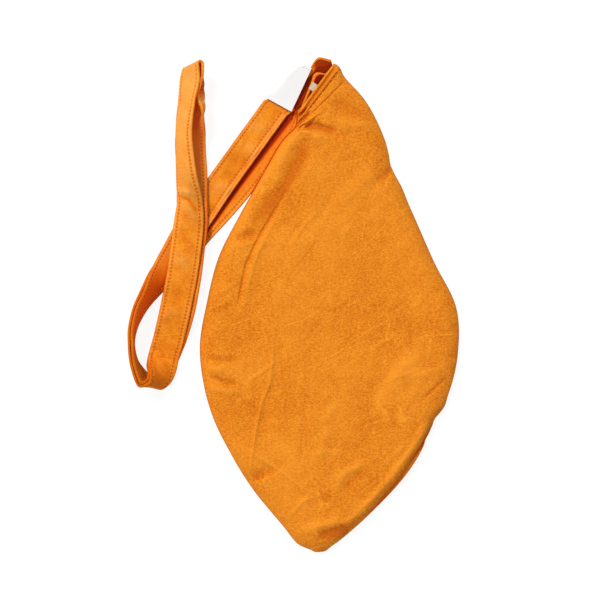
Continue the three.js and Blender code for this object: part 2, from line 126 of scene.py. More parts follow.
def with_height(plan, height):
    """Points of the plan with their height as a third number."""
    return np.concatenate([plan, np.broadcast_to(height, plan.shape[:-1])[..., None]], axis=-1)


def mixed(first, second, share):
    """The first where the share is 0, the second where it is 1, and straight between them."""
    return first * (1 - share) + second * share


def walk(points):
    """Length walked along a row of points, from 0 at the first one."""
    return np.concatenate([[0], np.cumsum(np.linalg.norm(np.diff(points, axis=0), axis=1))])


def at_places(places, known, rows):
    """Rows of numbers that are known at rising places, read off straight between them."""
    return np.stack([np.interp(places, known, column) for column in rows.T], axis=-1)


def cubic(start, end, leaving, arriving, t):
    """The cubic that goes from start to end in t from 0 to 1, with the given speeds at both."""
    third = 2 * start - 2 * end + leaving + arriving
    second = 3 * end - 3 * start - 2 * leaving - arriving
    return third * t**3 + second * t**2 + leaving * t + start


def smooth_rows(rows, position):
    """Catmull-Rom interpolation of a table's rows at fractional row numbers."""
    rows = np.asarray(rows, float)
    last = len(rows) - 1
    index = np.clip(np.floor(position).astype(int), 0, last - 1)
    p0, p1 = rows[np.maximum(index - 1, 0)], rows[index]
    p2, p3 = rows[index + 1], rows[np.minimum(index + 2, last)]
    return cubic(p1, p2, (p2 - p0) / 2, (p3 - p1) / 2, (position - index)[:, None])


def edge_curve(points, share):
    """Centripetal Catmull-Rom curve through points, at shares 0 to 1 counted in points."""
    points = np.vstack([2 * points[0] - points[1], points, 2 * points[-1] - points[-2]])
    position = np.clip(share, 0, 1) * (len(points) - 3)
    index = np.minimum(np.floor(position).astype(int), len(points) - 4)
    t = (position - index)[..., None]
    p0, p1, p2, p3 = (points[index + k] for k in range(4))
    d0, d1, d2 = (
        np.sqrt(np.linalg.norm(b - a, axis=-1, keepdims=True)) for a, b in ((p0, p1), (p1, p2), (p2, p3))
    )
    v0 = ((p1 - p0) / d0 - (p2 - p0) / (d0 + d1) + (p2 - p1) / d1) * d1
    v1 = ((p2 - p1) / d1 - (p3 - p1) / (d1 + d2) + (p3 - p2) / d2) * d1
    return cubic(p1, p2, v0, v1, t)


def line_distance(plan, line):
    """Distance of points from a bent line, the side they lie on (+1 left) and their share of its length."""
    line = np.asarray(line, float)
    runs = np.linalg.norm(np.diff(line, axis=0), axis=1)
    before = walk(line)
    best = np.full(plan.shape[:-1], 1e9)
    side = np.ones_like(best)
    share = np.zeros_like(best)
    for start, end, run, walked in zip(line[:-1], line[1:], runs, before):
        along = (end - start) / run
        offset = plan - start
        t = np.clip(offset @ along, 0, run)
        gap = np.linalg.norm(offset - t[..., None] * along, axis=-1)
        nearer = gap < best
        best = np.where(nearer, gap, best)
        side = np.where(nearer, np.sign(along[0] * offset[..., 1] - along[1] * offset[..., 0]), side)
        share = np.where(nearer, (walked + t) / before[-1], share)
    return best, side, share


def fold(plan, line, width, height, lean=0.0):
    """A ridge, or a furrow where height is negative: height * exp(-(distance / width)^2), lower at both ends.
    A positive lean makes its left flank wider and its right one steeper."""
    distance, side, share = line_distance(plan, line)
    fade = smoothstep(0, 0.25, share) * smoothstep(0, 0.25, 1 - share)
    return height * bell(distance, width * (1 + lean * side)) * (0.25 + 0.75 * fade)


LATTICE_POINTS = 97


def ripples(plan, seed, spacing, height):
    """Smooth unevenness: a lattice of seeded random heights, blended by smoothstep between its points."""
    lattice = np.random.default_rng(seed).uniform(-1, 1, (LATTICE_POINTS, LATTICE_POINTS))
    place = plan / spacing + LATTICE_POINTS // 2
    cell = np.floor(place).astype(int)
    t = smoothstep(0, 1, place - cell)
    cell = np.clip(cell, 0, LATTICE_POINTS - 2)
    x, y = cell[..., 0], cell[..., 1]
    low = mixed(lattice[x, y], lattice[x + 1, y], t[..., 0])
    high = mixed(lattice[x, y + 1], lattice[x + 1, y + 1], t[..., 0])
    return height * mixed(low, high, t[..., 1])


# Making a piece out of arrays

FLOOR_GAP = 0.02
SHARP_ANGLE = 70


def new_object(name, data):
    """Adds an object to the scene."""
    made = bpy.data.objects.new(name, data)
    bpy.context.scene.collection.objects.link(made)
    return made


def make_piece(name, points, faces, material, place=None, **fields):
    """A mesh of points in millimetres and arrays of faces, turned outward, whose flat place is its UV in
    metres. Each further field is a number per point, kept as an attribute. No point dips under the floor."""
    points = np.concatenate([points[:, :2], np.maximum(points[:, 2:], FLOOR_GAP)], axis=1)
    fans = [points[f[:, [0, k, k + 1]]] for f in faces for k in range(1, f.shape[1] - 1)]
    volume = sum((fan[:, 0] * np.cross(fan[:, 1], fan[:, 2])).sum() for fan in fans)
    if volume < 0:
        faces = [f[:, ::-1] for f in faces]
    corners = np.concatenate([f.ravel() for f in faces]).astype(np.int32)
    counts = np.concatenate([np.full(len(f), f.shape[1]) for f in faces])
    starts = np.concatenate([[0], np.cumsum(counts)[:-1]]).astype(np.int32)
    mesh = bpy.data.meshes.new(name)
    mesh.vertices.add(len(points))
    mesh.vertices.foreach_set("co", (points * MM).astype(np.float32).ravel())
    mesh.loops.add(len(corners))
    mesh.loops.foreach_set("vertex_index", corners)
    mesh.polygons.add(len(counts))
    mesh.polygons.foreach_set("loop_start", starts)
    mesh.update(calc_edges=True)
    if place is not None:
        layer = mesh.uv_layers.new(name="cloth")
        layer.data.foreach_set("uv", (place[corners] * MM).astype(np.float32).ravel())
    for label, values in fields.items():
        attribute = mesh.attributes.new(label, "FLOAT", "POINT")
        attribute.data.foreach_set("value", np.asarray(values, np.float32).ravel())
    mesh.set_sharp_from_angle(angle=radians(SHARP_ANGLE))
    mesh.materials.append(material)
    return new_object(name, mesh)


def grid_faces(rows, columns, first=0):
    """The quads of a grid of points that are numbered row by row."""
    i, j = np.meshgrid(np.arange(rows - 1), np.arange(columns - 1), indexing="ij")
    a = (first + i * columns + j).ravel()
    return np.stack([a, a + 1, a + columns + 1, a + columns], axis=1)


def grid_border(rows, columns, first=0):
    """Numbers of a grid's border points, once round and back to the first."""
    at = first + np.arange(rows * columns).reshape(rows, columns)
    return np.concatenate([at[0], at[1:, -1], at[-1, -2::-1], at[-2::-1, 0]])


def tube_faces(stations, around):
    """The quads between neighbouring rings of points that are numbered ring by ring."""
    i, j = np.meshgrid(np.arange(stations - 1), np.arange(around), indexing="ij")
    a, b = (i * around + j).ravel(), (i * around + (j + 1) % around).ravel()
    return np.stack([a, b, b + around, a + around], axis=1)


def cloth_body(name, outer, inner, material, place, step=4, **fields):
    """A closed cloth between its grid of outer points and every step-th row and column of its inner ones."""
    rows, columns = outer.shape[:2]
    inner = inner[::step, ::step]
    few_rows, few_columns = inner.shape[:2]
    fine, coarse = grid_border(rows, columns), grid_border(few_rows, few_columns, rows * columns)
    edges = np.arange(len(coarse) - 1)
    rim = [fine[(edges + 1) * step - k] for k in range(step + 1)] + [coarse[edges], coarse[edges + 1]]
    faces = [
        grid_faces(rows, columns),
        grid_faces(few_rows, few_columns, rows * columns)[:, ::-1],
        np.stack(rim, axis=1),
    ]
    points = np.concatenate([outer.reshape(-1, 3), inner.reshape(-1, 3)])

    def whole(values):
        """The outer points' values and then the inner ones'."""
        few = values[::step, ::step].reshape(few_rows * few_columns, -1)
        return np.concatenate([values.reshape(rows * columns, -1), few])

    kept = {label: whole(values[..., None]) for label, values in fields.items()}
    return make_piece(name, points, faces, material, whole(place), **kept)


def carried_section(name, loops, material, place, **fields):
    """A closed body made of a section carried along a path: loops is one closed row of points per station."""
    stations, around = loops.shape[:2]
    ring = np.arange(around)
    faces = [tube_faces(stations, around), ring[None, ::-1], ((stations - 1) * around + ring)[None]]
    kept = {label: values.ravel() for label, values in fields.items()}
    return make_piece(name, loops.reshape(-1, 3), faces, material, place.reshape(-1, 2), **kept)


# Finishes

class Surface:
    """One socket of a material's nodes. Arithmetic on it adds Math nodes."""

    def __init__(self, tree, socket=None):
        self.tree = tree
        self.socket = socket

    def node(self, kind, settings=None, sockets=None, output=0):
        """Adds a node: its settings first, then the values or links of its sockets. Gives one output."""
        node = self.tree.nodes.new(kind)
        for label, value in (settings or {}).items():
            setattr(node, label, value)
        for label, value in (sockets or {}).items():
            if isinstance(value, Surface):
                self.tree.links.new(value.socket, node.inputs[label])
            else:
                node.inputs[label].default_value = value
        return Surface(self.tree, node.outputs[output] if node.outputs else None)

    def math(self, operation, *values, clamp=False):
        settings = {"operation": operation, "use_clamp": clamp}
        return self.node("ShaderNodeMath", settings, dict(enumerate(values)))

    def __add__(self, other):
        return self.math("ADD", self, other)

    __radd__ = __add__

    def __sub__(self, other):
        return self.math("SUBTRACT", self, other)

    def __rsub__(self, other):
        return self.math("SUBTRACT", other, self)

    def __mul__(self, other):
        return self.math("MULTIPLY", self, other)

    __rmul__ = __mul__

    def held(self, gain=1.0, lift=0.0):
        """This value times gain, plus lift, held between 0 and 1."""
        return self.math("MULTIPLY_ADD", self, gain, lift, clamp=True)

    def wave(self, half_wave):
        """A sine over this value, each of whose humps and dips is half_wave long."""
        return self.math("SINE", self * (pi / half_wave))

    def unsigned(self):
        """This value without its sign."""
        return self.math("ABSOLUTE", self)

    def axes(self):
        """The first two numbers of this vector."""
        split = self.node("ShaderNodeSeparateXYZ", {}, {"Vector": self})
        return split, Surface(self.tree, split.socket.node.outputs[1])

    def mix(self, first, second, blend="MIX"):
        """The first colour where this value is 0. Where it is 1, the second, or their product if told so."""
        settings = {"data_type": "RGBA", "blend_type": blend}
        return self.node("ShaderNodeMix", settings, {0: self, 6: first, 7: second}, output=2)

    def noise(self, place, size, detail=2.0, stretch=(1, 1, 1)):
        """Noise from 0 to 1 whose grains measure size metres, times stretch along each axis."""
        scale = tuple(1 / (size * s) for s in stretch)
        scaled = self.node("ShaderNodeVectorMath", {"operation": "MULTIPLY"}, {0: place, 1: scale})
        return self.node("ShaderNodeTexNoise", {}, {"Vector": scaled, "Scale": 1.0, "Detail": detail})

    def attribute(self, label):
        """A number kept at every point of the mesh."""
        return self.node("ShaderNodeAttribute", {"attribute_name": label}, output=2)

    def raised(self, strength, distance):
        """Normals of a surface on which this value is the height."""
        return self.node("ShaderNodeBump", {}, {"Strength": strength, "Distance": distance, "Height": self})


def colour(red, green, blue):
    """Linear colour of an sRGB one given in 0 to 255."""
    parts = np.array([red, green, blue]) / 255
    linear = np.where(parts < 0.04045, parts / 12.92, ((parts + 0.055) / 1.055) ** 2.4)
    return (*linear.tolist(), 1.0)


def new_material(name):
    """A material without nodes, and the start of its expressions."""
    material = bpy.data.materials.new(name)
    material.use_nodes = True
    material.node_tree.nodes.clear()
    return material, Surface(material.node_tree)


def finish_material(material, start, base, roughness, normal, sheen, sheen_tint, specular=0.3):
    """Closes a material with its shader, whose sheen is the soft light on a cloth's fibres."""
    shader = start.node("ShaderNodeBsdfPrincipled", {}, {
        "Base Color": base, "Roughness": roughness, "Normal": normal, "Specular IOR Level": specular,
        "Sheen Weight": sheen, "Sheen Roughness": 0.5, "Sheen Tint": sheen_tint,
    })
    start.node("ShaderNodeOutputMaterial", {}, {"Surface": shader})
    return material


# The cotton's pattern, in metres: the weave, slubs, clouds, crumple and the network of creases
WEAVE_PITCH = 0.00055
WARP_SLUB = 0.0009
WEFT_SLUB = 0.001
GRAIN = 0.0009
CLOUD = 0.02
PATCH = 0.0065
CRUMPLE = 0.009
NETWORK_SCALE = (1 / 0.038, 1 / 0.07, 1.0)
NETWORK_BEND = 0.05
NETWORK_GAP = 0.024
# How far warp slubs, clouds and the network are turned from the weave, in degrees
BIAS = 38
# Painted shade: what the colour is multiplied by in a furrow, the colour of the shade in a stitch hole, a
# painted red glow that stands in for reflected light, and the painted dark red shade of a deep recess
FURROW_SHADE = (0.81, 0.64, 0.35, 1)
STITCH_HOLE_SHADE = colour(218, 106, 22)
PAINTED_REFLECTED_GLOW = colour(255, 104, 2)
PAINTED_DEEP_SHADE = colour(146, 26, 2)
# Widths of a thread's ply and of a satin's rib, in metres
PLY_WIDTH = 0.0004
RIB_WIDTH = 0.0002


def woven_cotton(name, plain, deep, light, pale, crumple=1.0, speckled=0.6):
    """Plain weave: warp and weft threads pass over each other in turn, with slubs along both, soft clouds and
    a broken network of fine creases. Painted shade darkens furrows, and a painted highlight turns ridges and
    edges toward the pale colour. The painted-light attribute is 1 on a ridge, -1 in a furrow and -2 in a
    stitch hole, whose painted shade is the stitch hole colour; it also carries some plain paler and deeper
    tone. Where the glow-and-shade attribute reaches 1 the cloth has a painted red glow that stands in for
    light reflected by the cloth itself, and at 2 it has the painted dark red shade of a deep recess."""
    material, start = new_material(name)
    place = start.node("ShaderNodeUVMap", {"uv_map": "cloth"})
    across, up = place.axes()
    warp, weft = across.wave(WEAVE_PITCH), up.wave(WEAVE_PITCH)
    over = (warp * weft).held(3.0, 0.5)
    threads = over * warp.unsigned() + (1 - over) * weft.unsigned()
    turned = start.node(
        "ShaderNodeVectorRotate", {"rotation_type": "Z_AXIS"}, {"Vector": place, "Angle": radians(BIAS)},
    )
    warp_slubs = start.noise(turned, WARP_SLUB, stretch=(1, 2.6, 1))
    weft_slubs = start.noise(place, WEFT_SLUB, stretch=(2.4, 1, 1))
    slubs = warp_slubs + weft_slubs
    grain = start.noise(place, GRAIN, detail=4.0)
    clouds = start.noise(turned, CLOUD, detail=3.0, stretch=(1, 1.8, 1))
    patches = start.noise(turned, PATCH, stretch=(1, 1.6, 1))
    crumpled = start.noise(place, CRUMPLE, detail=3.0)
    cells = start.node("ShaderNodeVectorMath", {"operation": "MULTIPLY_ADD"}, {
        0: turned, 1: NETWORK_SCALE, 2: start.noise(place, NETWORK_BEND) * 0.5,
    })
    network = start.node(
        "ShaderNodeTexVoronoi", {"feature": "DISTANCE_TO_EDGE"}, {"Vector": cells, "Scale": 1.0},
    )
    shown = start.noise(place, NETWORK_GAP, detail=1.0).held(6.0, -2.6)
    creases = network.held(-70.0, 1.0) * shown
    speckle = (slubs + grain - 1.5).held(2.4, 0.5)
    cloudy = (clouds * 0.6 + patches - 0.8).held(1.9, 0.5)
    tone = speckle * speckled + cloudy * (0.9 - speckled) + threads * 0.1 + creases * 0.35
    wear, hollow = start.attribute("wear"), start.attribute("hollow")
    # Painted shade in furrows and stitch holes, a painted highlight on ridges, then a painted red glow and
    # dark red shade
    furrow, ridge, hole = wear.held(-1.0), wear.held(), wear.held(-1.0, -1.0)
    shaded = furrow.mix(tone.mix(deep, light), FURROW_SHADE, blend="MULTIPLY")
    pierced = hole.mix((ridge * 0.5).mix(shaded, pale), STITCH_HOLE_SHADE)
    base = hollow.held(1.0, -1.0).mix(hollow.held().mix(pierced, PAINTED_REFLECTED_GLOW), PAINTED_DEEP_SHADE)
    relief = threads * 0.10 + slubs * 0.16 + grain * 0.16 + crumpled * (0.9 * crumple) + creases * 0.7
    roughness = 0.93 - ridge * 0.12 - threads * 0.05
    normal = relief.raised(0.5, 0.0006)
    return finish_material(material, start, base, roughness, normal, 0.06, plain, specular=0.15)


def sewing_thread(name, plain, dark):
    """Two plies laid round each other: slanting waves along the stitch, with a low gloss."""
    material, start = new_material(name)
    place = start.node("ShaderNodeTexCoord", {}, output=3)
    fuzz = start.noise(place, PLY_WIDTH)
    shade = start.noise(place, 0.006, detail=1.0)
    across, up = place.axes()
    ply = (across + up).wave(PLY_WIDTH) * 0.5 + 0.5
    base = (shade * 0.6 + ply * 0.4).held().mix(dark, plain)
    normal = (ply + fuzz).raised(0.6, 0.0001)
    return finish_material(material, start, base, 0.85 - ply * 0.1, normal, 0.02, plain, specular=0.1)


def satin_label(name, plain, shadow):
    """Bleached satin ribbon: long floats across, a fine cross rib, and a little grey in its hollows."""
    material, start = new_material(name)
    place = start.node("ShaderNodeUVMap", {"uv_map": "cloth"})
    up = place.axes()[1]
    rib = up.wave(RIB_WIDTH) * 0.5 + 0.5
    floats = start.noise(place, 0.0007, stretch=(9, 1, 1))
    cloud = start.noise(place, 0.009)
    base = (cloud * 0.5 + floats * 0.3 + rib * 0.2).mix(shadow, plain)
    normal = (rib * 0.3 + floats + cloud * 2.0).raised(0.35, 0.0002)
    return finish_material(material, start, base, 0.5 + floats * 0.15, normal, 0.1, plain)


# Each cotton's plain colour, the deep and light ends of its tone, and the pale colour that painted highlights
# turn it toward
bag_cotton = woven_cotton(
    "bag cotton", colour(238, 140, 36), colour(204, 98, 0), colour(253, 160, 42), colour(253, 160, 42),
)
strap_cotton = woven_cotton(
    "strap cotton", colour(248, 142, 34), colour(222, 100, 0), colour(255, 166, 40), colour(255, 186, 98),
    crumple=0.8, speckled=0.4,
)
strap_thread = sewing_thread("orange thread", colour(255, 180, 78), colour(242, 138, 36))
rim_thread = sewing_thread("rust thread", colour(190, 74, 14), colour(150, 48, 8))
white_satin_thread = sewing_thread("white thread", colour(240, 240, 240), colour(205, 205, 208))
white_satin = satin_label("white satin", colour(250, 250, 250), colour(240, 241, 244))
grey_satin = satin_label("greyish satin", colour(222, 208, 186), colour(196, 180, 156))


# Plan of the bag

def leaf_plan(percent):
    """Points given in percent of the bag's width and length, in millimetres from the leaf's centre."""
    return (percent - LEAF_CENTRE) / 100 * np.array([BAG_WIDTH, BAG_LENGTH])


left_points, right_points = leaf_plan(LEFT_EDGE), leaf_plan(RIGHT_EDGE)
lower_corner, upper_corner = left_points[0], right_points[0]
mouth_width = np.linalg.norm(upper_corner - lower_corner)
along_mouth = (upper_corner - lower_corner) / mouth_width
inward = np.array([along_mouth[1], -along_mouth[0]])
mouth_middle = (lower_corner + upper_corner) / 2
tip = (left_points[-1] + right_points[-1]) / 2

# Small swellings of the two edges: height along Y, half length and how far they stand out
LEFT_SWELLS = [(-100, 28, 1.0), (60, 30, 0.5), (148, 8, -0.2)]
RIGHT_SWELLS = [
    (190.5, 4, 2.6), (104, 9, 1.3), (121, 4, -0.6), (-56, 6, 1.6), (-84, 16, 1.5), (-112, 26, 1.3),
    (-65, 3, -0.9), (-80, 3, -0.7),
]


def swollen(points, swells, way):
    """Edge points pushed outward by the sum of height * exp(-((y - middle) / half length)^2)."""
    push = sum(height * bell(points[..., 1] - middle, reach) for middle, reach, height in swells)
    return points + push[..., None] * way


# How far the left edge's points run ahead of the right one's, and where most, in shares of the bag's length
RUN_AHEAD = 0.03
RUN_AHEAD_PEAK = 0.045


def rungs(v):
    """The plan's left and right edge points, their middle and half their distance. Near the mouth the left
    one runs ahead, so that the bands' seams end farther down that edge."""
    ahead = RUN_AHEAD * (v / RUN_AHEAD_PEAK) * np.exp(1 - v / RUN_AHEAD_PEAK)
    left, right = edge_curve(left_points, v + ahead * (1 - v)), edge_curve(right_points, v)
    way = unit(right - left)
    left, right = swollen(left, LEFT_SWELLS, -way), swollen(right, RIGHT_SWELLS, way)
    return left, right, (left + right) / 2, np.linalg.norm(right - left, axis=-1) / 2


# The bag's middle line in fine steps from the mouth to the tip
DENSE = np.linspace(0, 1, 4001)
NEAR_MOUTH = slice(0, 800)
dense_middle = rungs(DENSE)[2]
dense_run = (dense_middle - mouth_middle) @ inward
dense_walk = walk(dense_middle)
band_share = np.interp(BAND_MIDDLE_RUN, dense_run[NEAR_MOUTH], DENSE[NEAR_MOUTH])
bow_fade_share = 3 * band_share


def crowded(s, close_up):
    """Even shares drawn closer together toward 1 and -1, by mixing in sin(s * pi / 2)."""
    return mixed(s, np.sin(s * pi / 2), close_up)


def even_rows(start, count, close_up=0.0):
    """Shares down the bag from start to the tip, evenly spaced along its middle, or crowded at the tip."""
    s = crowded(np.linspace(0, 1, count), close_up)
    from_start = np.interp(start, DENSE, dense_walk)
    return np.interp(from_start + s * (dense_walk[-1] - from_start), dense_walk, DENSE)


def even_columns(count):
    """Shares across from -1 to 1, closer together at both edges."""
    return crowded(np.linspace(-1, 1, count), 0.45)


# The back rim's bow out of the mouth, in millimetres, at millimetres from the lower corner
BACK_RIM_ALONG = [0, 4, 8, 16, 23, 27, 29, 31, 32.5, 33.6, 35, mouth_width]
BACK_RIM_BOW = [0, 0.3, 1.2, 3.3, 5.1, 6.6, 7.1, 6.2, 4.2, 1.2, 0, 0]

# Folds of the front cloth: line in millimetres, width, height and lean
FRONT_FOLDS = [
    ([(-32, 101), (-40, 88), (-50, 71), (-55, 61), (-61, 48), (-64, 35), (-68, 14)], 1.2, -1.0, 0.3),
    ([(-37, 85), (-48, 66), (-55, 50), (-59, 34), (-62, 18)], 1.6, 0.6, 0),
    ([(-21, 147), (-46, 118), (-57, 100), (-78, 59)], 5, 1.3, 0),
    ([(-19, 134), (-24, 119), (-33, 104), (-46, 90), (-60, 66)], 5.5, -0.55, 0),
    ([(-19, 138), (-26, 122), (-34, 106)], 5, -0.8, 0),
    ([(-70, 65), (-61, 69), (-52, 71)], 3.6, -1.3, 0),
    ([(-72, 60), (-62, 63), (-55, 64)], 2.5, 0.6, 0),
    ([(-27, 147.5), (-17, 149.5), (-9, 149), (0, 146), (8, 144)], 2.8, -1.8, -0.3),
    ([(-22, 149.8), (-14, 152.2), (-5, 155)], 1.2, 0.9, 0),
    ([(-22, 144), (-14, 142.5), (-5, 139)], 3.5, 0.9, 0),
    ([(-2, 167), (13, 162), (25, 157)], 4.5, -0.9, 0),
    ([(5, 152), (18, 150), (33, 147)], 3.5, 0.8, 0),
    ([(48, 119.5), (41, 114), (34, 107)], 3, -1.0, 0),
    ([(36, 120), (20, 106), (2, 91)], 5, 0.6, 0),
    ([(-27, 65), (-17, 79), (-7, 87)], 1.5, 0.5, 0),
    ([(-34, 58), (-24, 74), (-14, 82)], 1.8, -0.4, 0),
    ([(-88, 25), (-76, 29), (-68, 35)], 2, 0.6, 0),
    ([(-90, 12), (-78, 15), (-69, 21)], 2.2, -0.6, 0),
    ([(-85, 37), (-76, 42), (-68, 44)], 2.4, -0.5, 0),
    ([(-41.5, 2), (-42, -20), (-44, -38), (-50, -53), (-54, -71), (-56.5, -88), (-59, -107)], 1.2, 0.85, 0.3),
    ([(-57.5, -110.5), (-47, -106.5), (-38, -102)], 4, -1.2, 0.75),
    ([(-59, -87), (-47, -95.5), (-36, -102.5), (-20, -115), (-4, -122)], 1.5, 0.85, 0),
    ([(-61, -38), (-50, -31), (-38, -22)], 1.3, 0.6, 0),
    ([(-18.7, -57), (-19.5, -76), (-21, -94)], 1.4, -0.4, 0),
    ([(-90, -20), (-80, -22), (-66, -21.5)], 2.6, -1.1, 0),
    ([(-91, -28), (-76, -29)], 2.6, 0.8, 0),
    ([(-89, -33), (-78, -37), (-66, -40.5)], 2.0, -1.1, 0),
    ([(-90, -42), (-72, -45), (-60, -49)], 2.8, 0.7, 0),
    ([(-73, -46), (-64, -50), (-57, -56)], 2.2, -0.6, 0),
    ([(-20, -7), (-4, 3)], 1.2, 0.35, 0),
    ([(74, -7), (57, -24), (42, -44), (32, -66)], 6.5, 0.75, 0),
    ([(4, -53), (-4, -67)], 3, 0.5, 0),
    ([(28, -101), (16, -110), (8, -118)], 3.2, -0.45, 0),
    ([(-18, -91), (-2, -89), (12, -89)], 2, 0.4, 0),
    ([(78, -56), (65, -79), (48, -103), (31, -123), (13, -138)], 2.8, 1.1, 0),
    ([(83, -55), (76, -63), (68.5, -81), (52.5, -106.5), (35.5, -127), (16.5, -142)], 1.8, -1.6, 0),
    ([(78, -66), (70, -80), (57, -97)], 1.2, -0.7, 0),
    ([(-22, -147), (-8, -142.5), (5, -139.5), (14, -141)], 3.5, 0.9, 0),
    ([(-10, -151), (4, -147), (15, -143)], 5.2, -1.8, 0),
    ([(2, -70), (-6, -84), (-13, -100)], 4, 0.5, 0),
    ([(25, -97), (12, -103), (2, -113)], 3.2, 0.7, 0),
    ([(87, -33), (67, -51)], 1.4, -0.6, 0),
    ([(-31, -137), (-15, -120)], 1.7, 0.5, 0),
    ([(86, -20), (93, -20)], 1.2, -0.5, 0),
    ([(88, 4), (95, 1)], 1.2, -0.5, 0),
    ([(36, 137), (46, 122), (44, 117)], 2.5, -0.5, 0),
]

# Lines of painted shade for slopes that face away from the light on the front cloth, or of painted light
# where the strength is negative: line, width, strength
PAINTED_SHADING_LINES = [
    ([(-16, 147), (-18, 132), (-22, 122), (-30, 108), (-42, 95), (-52, 80), (-60, 67)], 4.4, 0.75),
    ([(-9, -150), (3, -146), (15, -142)], 4.5, 0.8),
    ([(-22, -111), (-8, -119), (5, -124)], 5, 0.4),
    ([(85, -52), (68, -82), (40, -120)], 3, 0.35),
    ([(-8, -82), (1, -84), (10, -84)], 4, 0.35),
    ([(-33, 140), (-40, 128), (-47, 116)], 5, -0.4),
    ([(59, -20), (44, -41), (30, -61)], 5, -0.4),
    ([(17, -45), (8, -55), (-1, -65)], 4, -0.35),
    ([(24, -94), (16, -103), (9, -111)], 3, -0.35),
]

# Small creases left by washing: how many, the ranges of their middle, length, width and height, the mean and
# spread of their azimuth, and how far they bend, as a share of half their length
CREASE_COUNT = 110
CREASE_FIELD = (-80, 85), (-140, 140)
CREASE_LENGTH = (14, 60)
CREASE_WIDTH = (0.7, 3.0)
CREASE_HEIGHT = (0.1, 0.5)
CREASE_AZIMUTH = (50, 38)
CREASE_BEND = 0.15

# Gathers at the mouth's lower corner: line in millimetres, width and height
CORNER_GATHERS = [
    ([(-25, 143.5), (-20.9, 147), (-16.3, 149.1), (-11.7, 152.9), (-7, 156.5)], 0.9, -2.2),
    ([(-24, 148), (-18, 150.8), (-12, 155)], 0.8, 1.6),
    ([(-24, 150), (-18.6, 154), (-13.8, 159.3)], 0.8, -2.0),
    ([(-25, 152), (-19.5, 156), (-15.5, 160.5)], 0.8, 1.6),
    ([(-25, 154.5), (-20.9, 157.5), (-16, 162.5)], 0.7, -1.9),
    ([(-24.5, 157), (-21, 160), (-18, 163.6)], 0.7, 1.4),
    ([(-26, 145.5), (-19, 144.6), (-12, 143)], 1.6, 1.3),
    ([(-15, 152.5), (-9, 157), (-5, 160)], 0.9, 0.9),
]

# Slow unevenness of the front cloth: seed, spacing and height
FRONT_RIPPLES = [(11, 31, 0.8), (12, 13, 0.3)]

# How many times its height in the table a front fold has, how much lower the crown is at its sides, as a
# share, how wide the underside rolls at the tip, and how high it lies off the floor
FOLD_GAIN = 1.35
CROWN_FALL = 0.2
UNDERSIDE_TIP_ROLL = 1.5 * UNDERSIDE_ROLL
UNDERSIDE_LIFT = 0.35


def corner_gathers(plan, side_gap):
    """Sharp pleats where the mouth's end is gathered, which fade in from the edge."""
    gathers = sum(fold(plan, line, width, height) for line, width, height in CORNER_GATHERS)
    return gathers * smoothstep(0, 1.2, side_gap)


def small_creases(plan, seed):
    """Seeded short folds, most of them running from lower left to upper right."""
    rng = np.random.default_rng(seed)
    total = np.zeros(plan.shape[:-1])
    for _ in range(CREASE_COUNT):
        centre = np.array([rng.uniform(*reach) for reach in CREASE_FIELD])
        azimuth = radians(rng.normal(*CREASE_AZIMUTH))
        half = rng.uniform(*CREASE_LENGTH) / 2 * np.array([np.cos(azimuth), np.sin(azimuth)])
        bend = rng.uniform(-CREASE_BEND, CREASE_BEND) * np.array([-half[1], half[0]])
        height = rng.uniform(*CREASE_HEIGHT) * rng.choice([-1, 1])
        total += fold(plan, [centre - half, centre + bend, centre + half], rng.uniform(*CREASE_WIDTH), height)
    return total


def front_relief(plan, side_gap):
    """Folds, small creases and a slow unevenness of the front cloth. The folds run out close to the edge."""
    total = small_creases(plan, seed=5)
    for seed, spacing, height in FRONT_RIPPLES:
        total = total + ripples(plan, seed, spacing, height)
    total = total * smoothstep(0, 7, side_gap)
    for line, width, height, lean in FRONT_FOLDS:
        total += fold(plan, line, width, height * FOLD_GAIN, lean) * smoothstep(0, 1.6, side_gap)
    return total + corner_gathers(plan, side_gap)


def leaf_grid(side, u, v):
    """Plan of a grid across and down the bag, and its gaps to the side and the tip. The seams of the bands
    bow inward, the back rim bows out, and the tip is rounded."""
    left, right, middle, half = rungs(v)
    share = (u[None, :] + 1) / 2
    plan = mixed(left[:, None], right[:, None], share[..., None])
    shape = 1 - u[None, :] ** 2
    fade = np.clip((v - band_share) / (bow_fade_share - band_share), 0, 1)
    seam_bow = BAND_SEAM_BOW * np.where(v < band_share, v / band_share, (1 - fade) ** 2)
    bow = seam_bow[:, None] * shape
    if side == "back":
        rim = np.interp(share * mouth_width, BACK_RIM_ALONG, BACK_RIM_BOW)
        bow = bow - rim * np.clip(1 - v / band_share, 0, 1)[:, None]
    round_end = TIP_BOW * smoothstep(0.955, 1, v)[:, None] * (1 - u[None, :] ** 4)
    plan = plan + bow[..., None] * inward + round_end[..., None] * np.array([0.2, -1.0])
    side_gap = (1 - np.abs(u))[None, :] * half[:, None]
    tip_gap = np.linalg.norm(middle - tip, axis=-1)[:, None]
    return plan, side_gap, tip_gap


def drawn_in(plan, side_gap, depth, edge):
    """Plan of a layer at a depth under the face: drawn to its row's middle by
    (depth / half width) * (1 - edge)."""
    half = np.maximum(side_gap.max(axis=1, keepdims=True), 1)
    centre = plan[:, plan.shape[1] // 2][:, None]
    return plan + (centre - plan) * ((depth / half) * (1 - edge))[..., None]


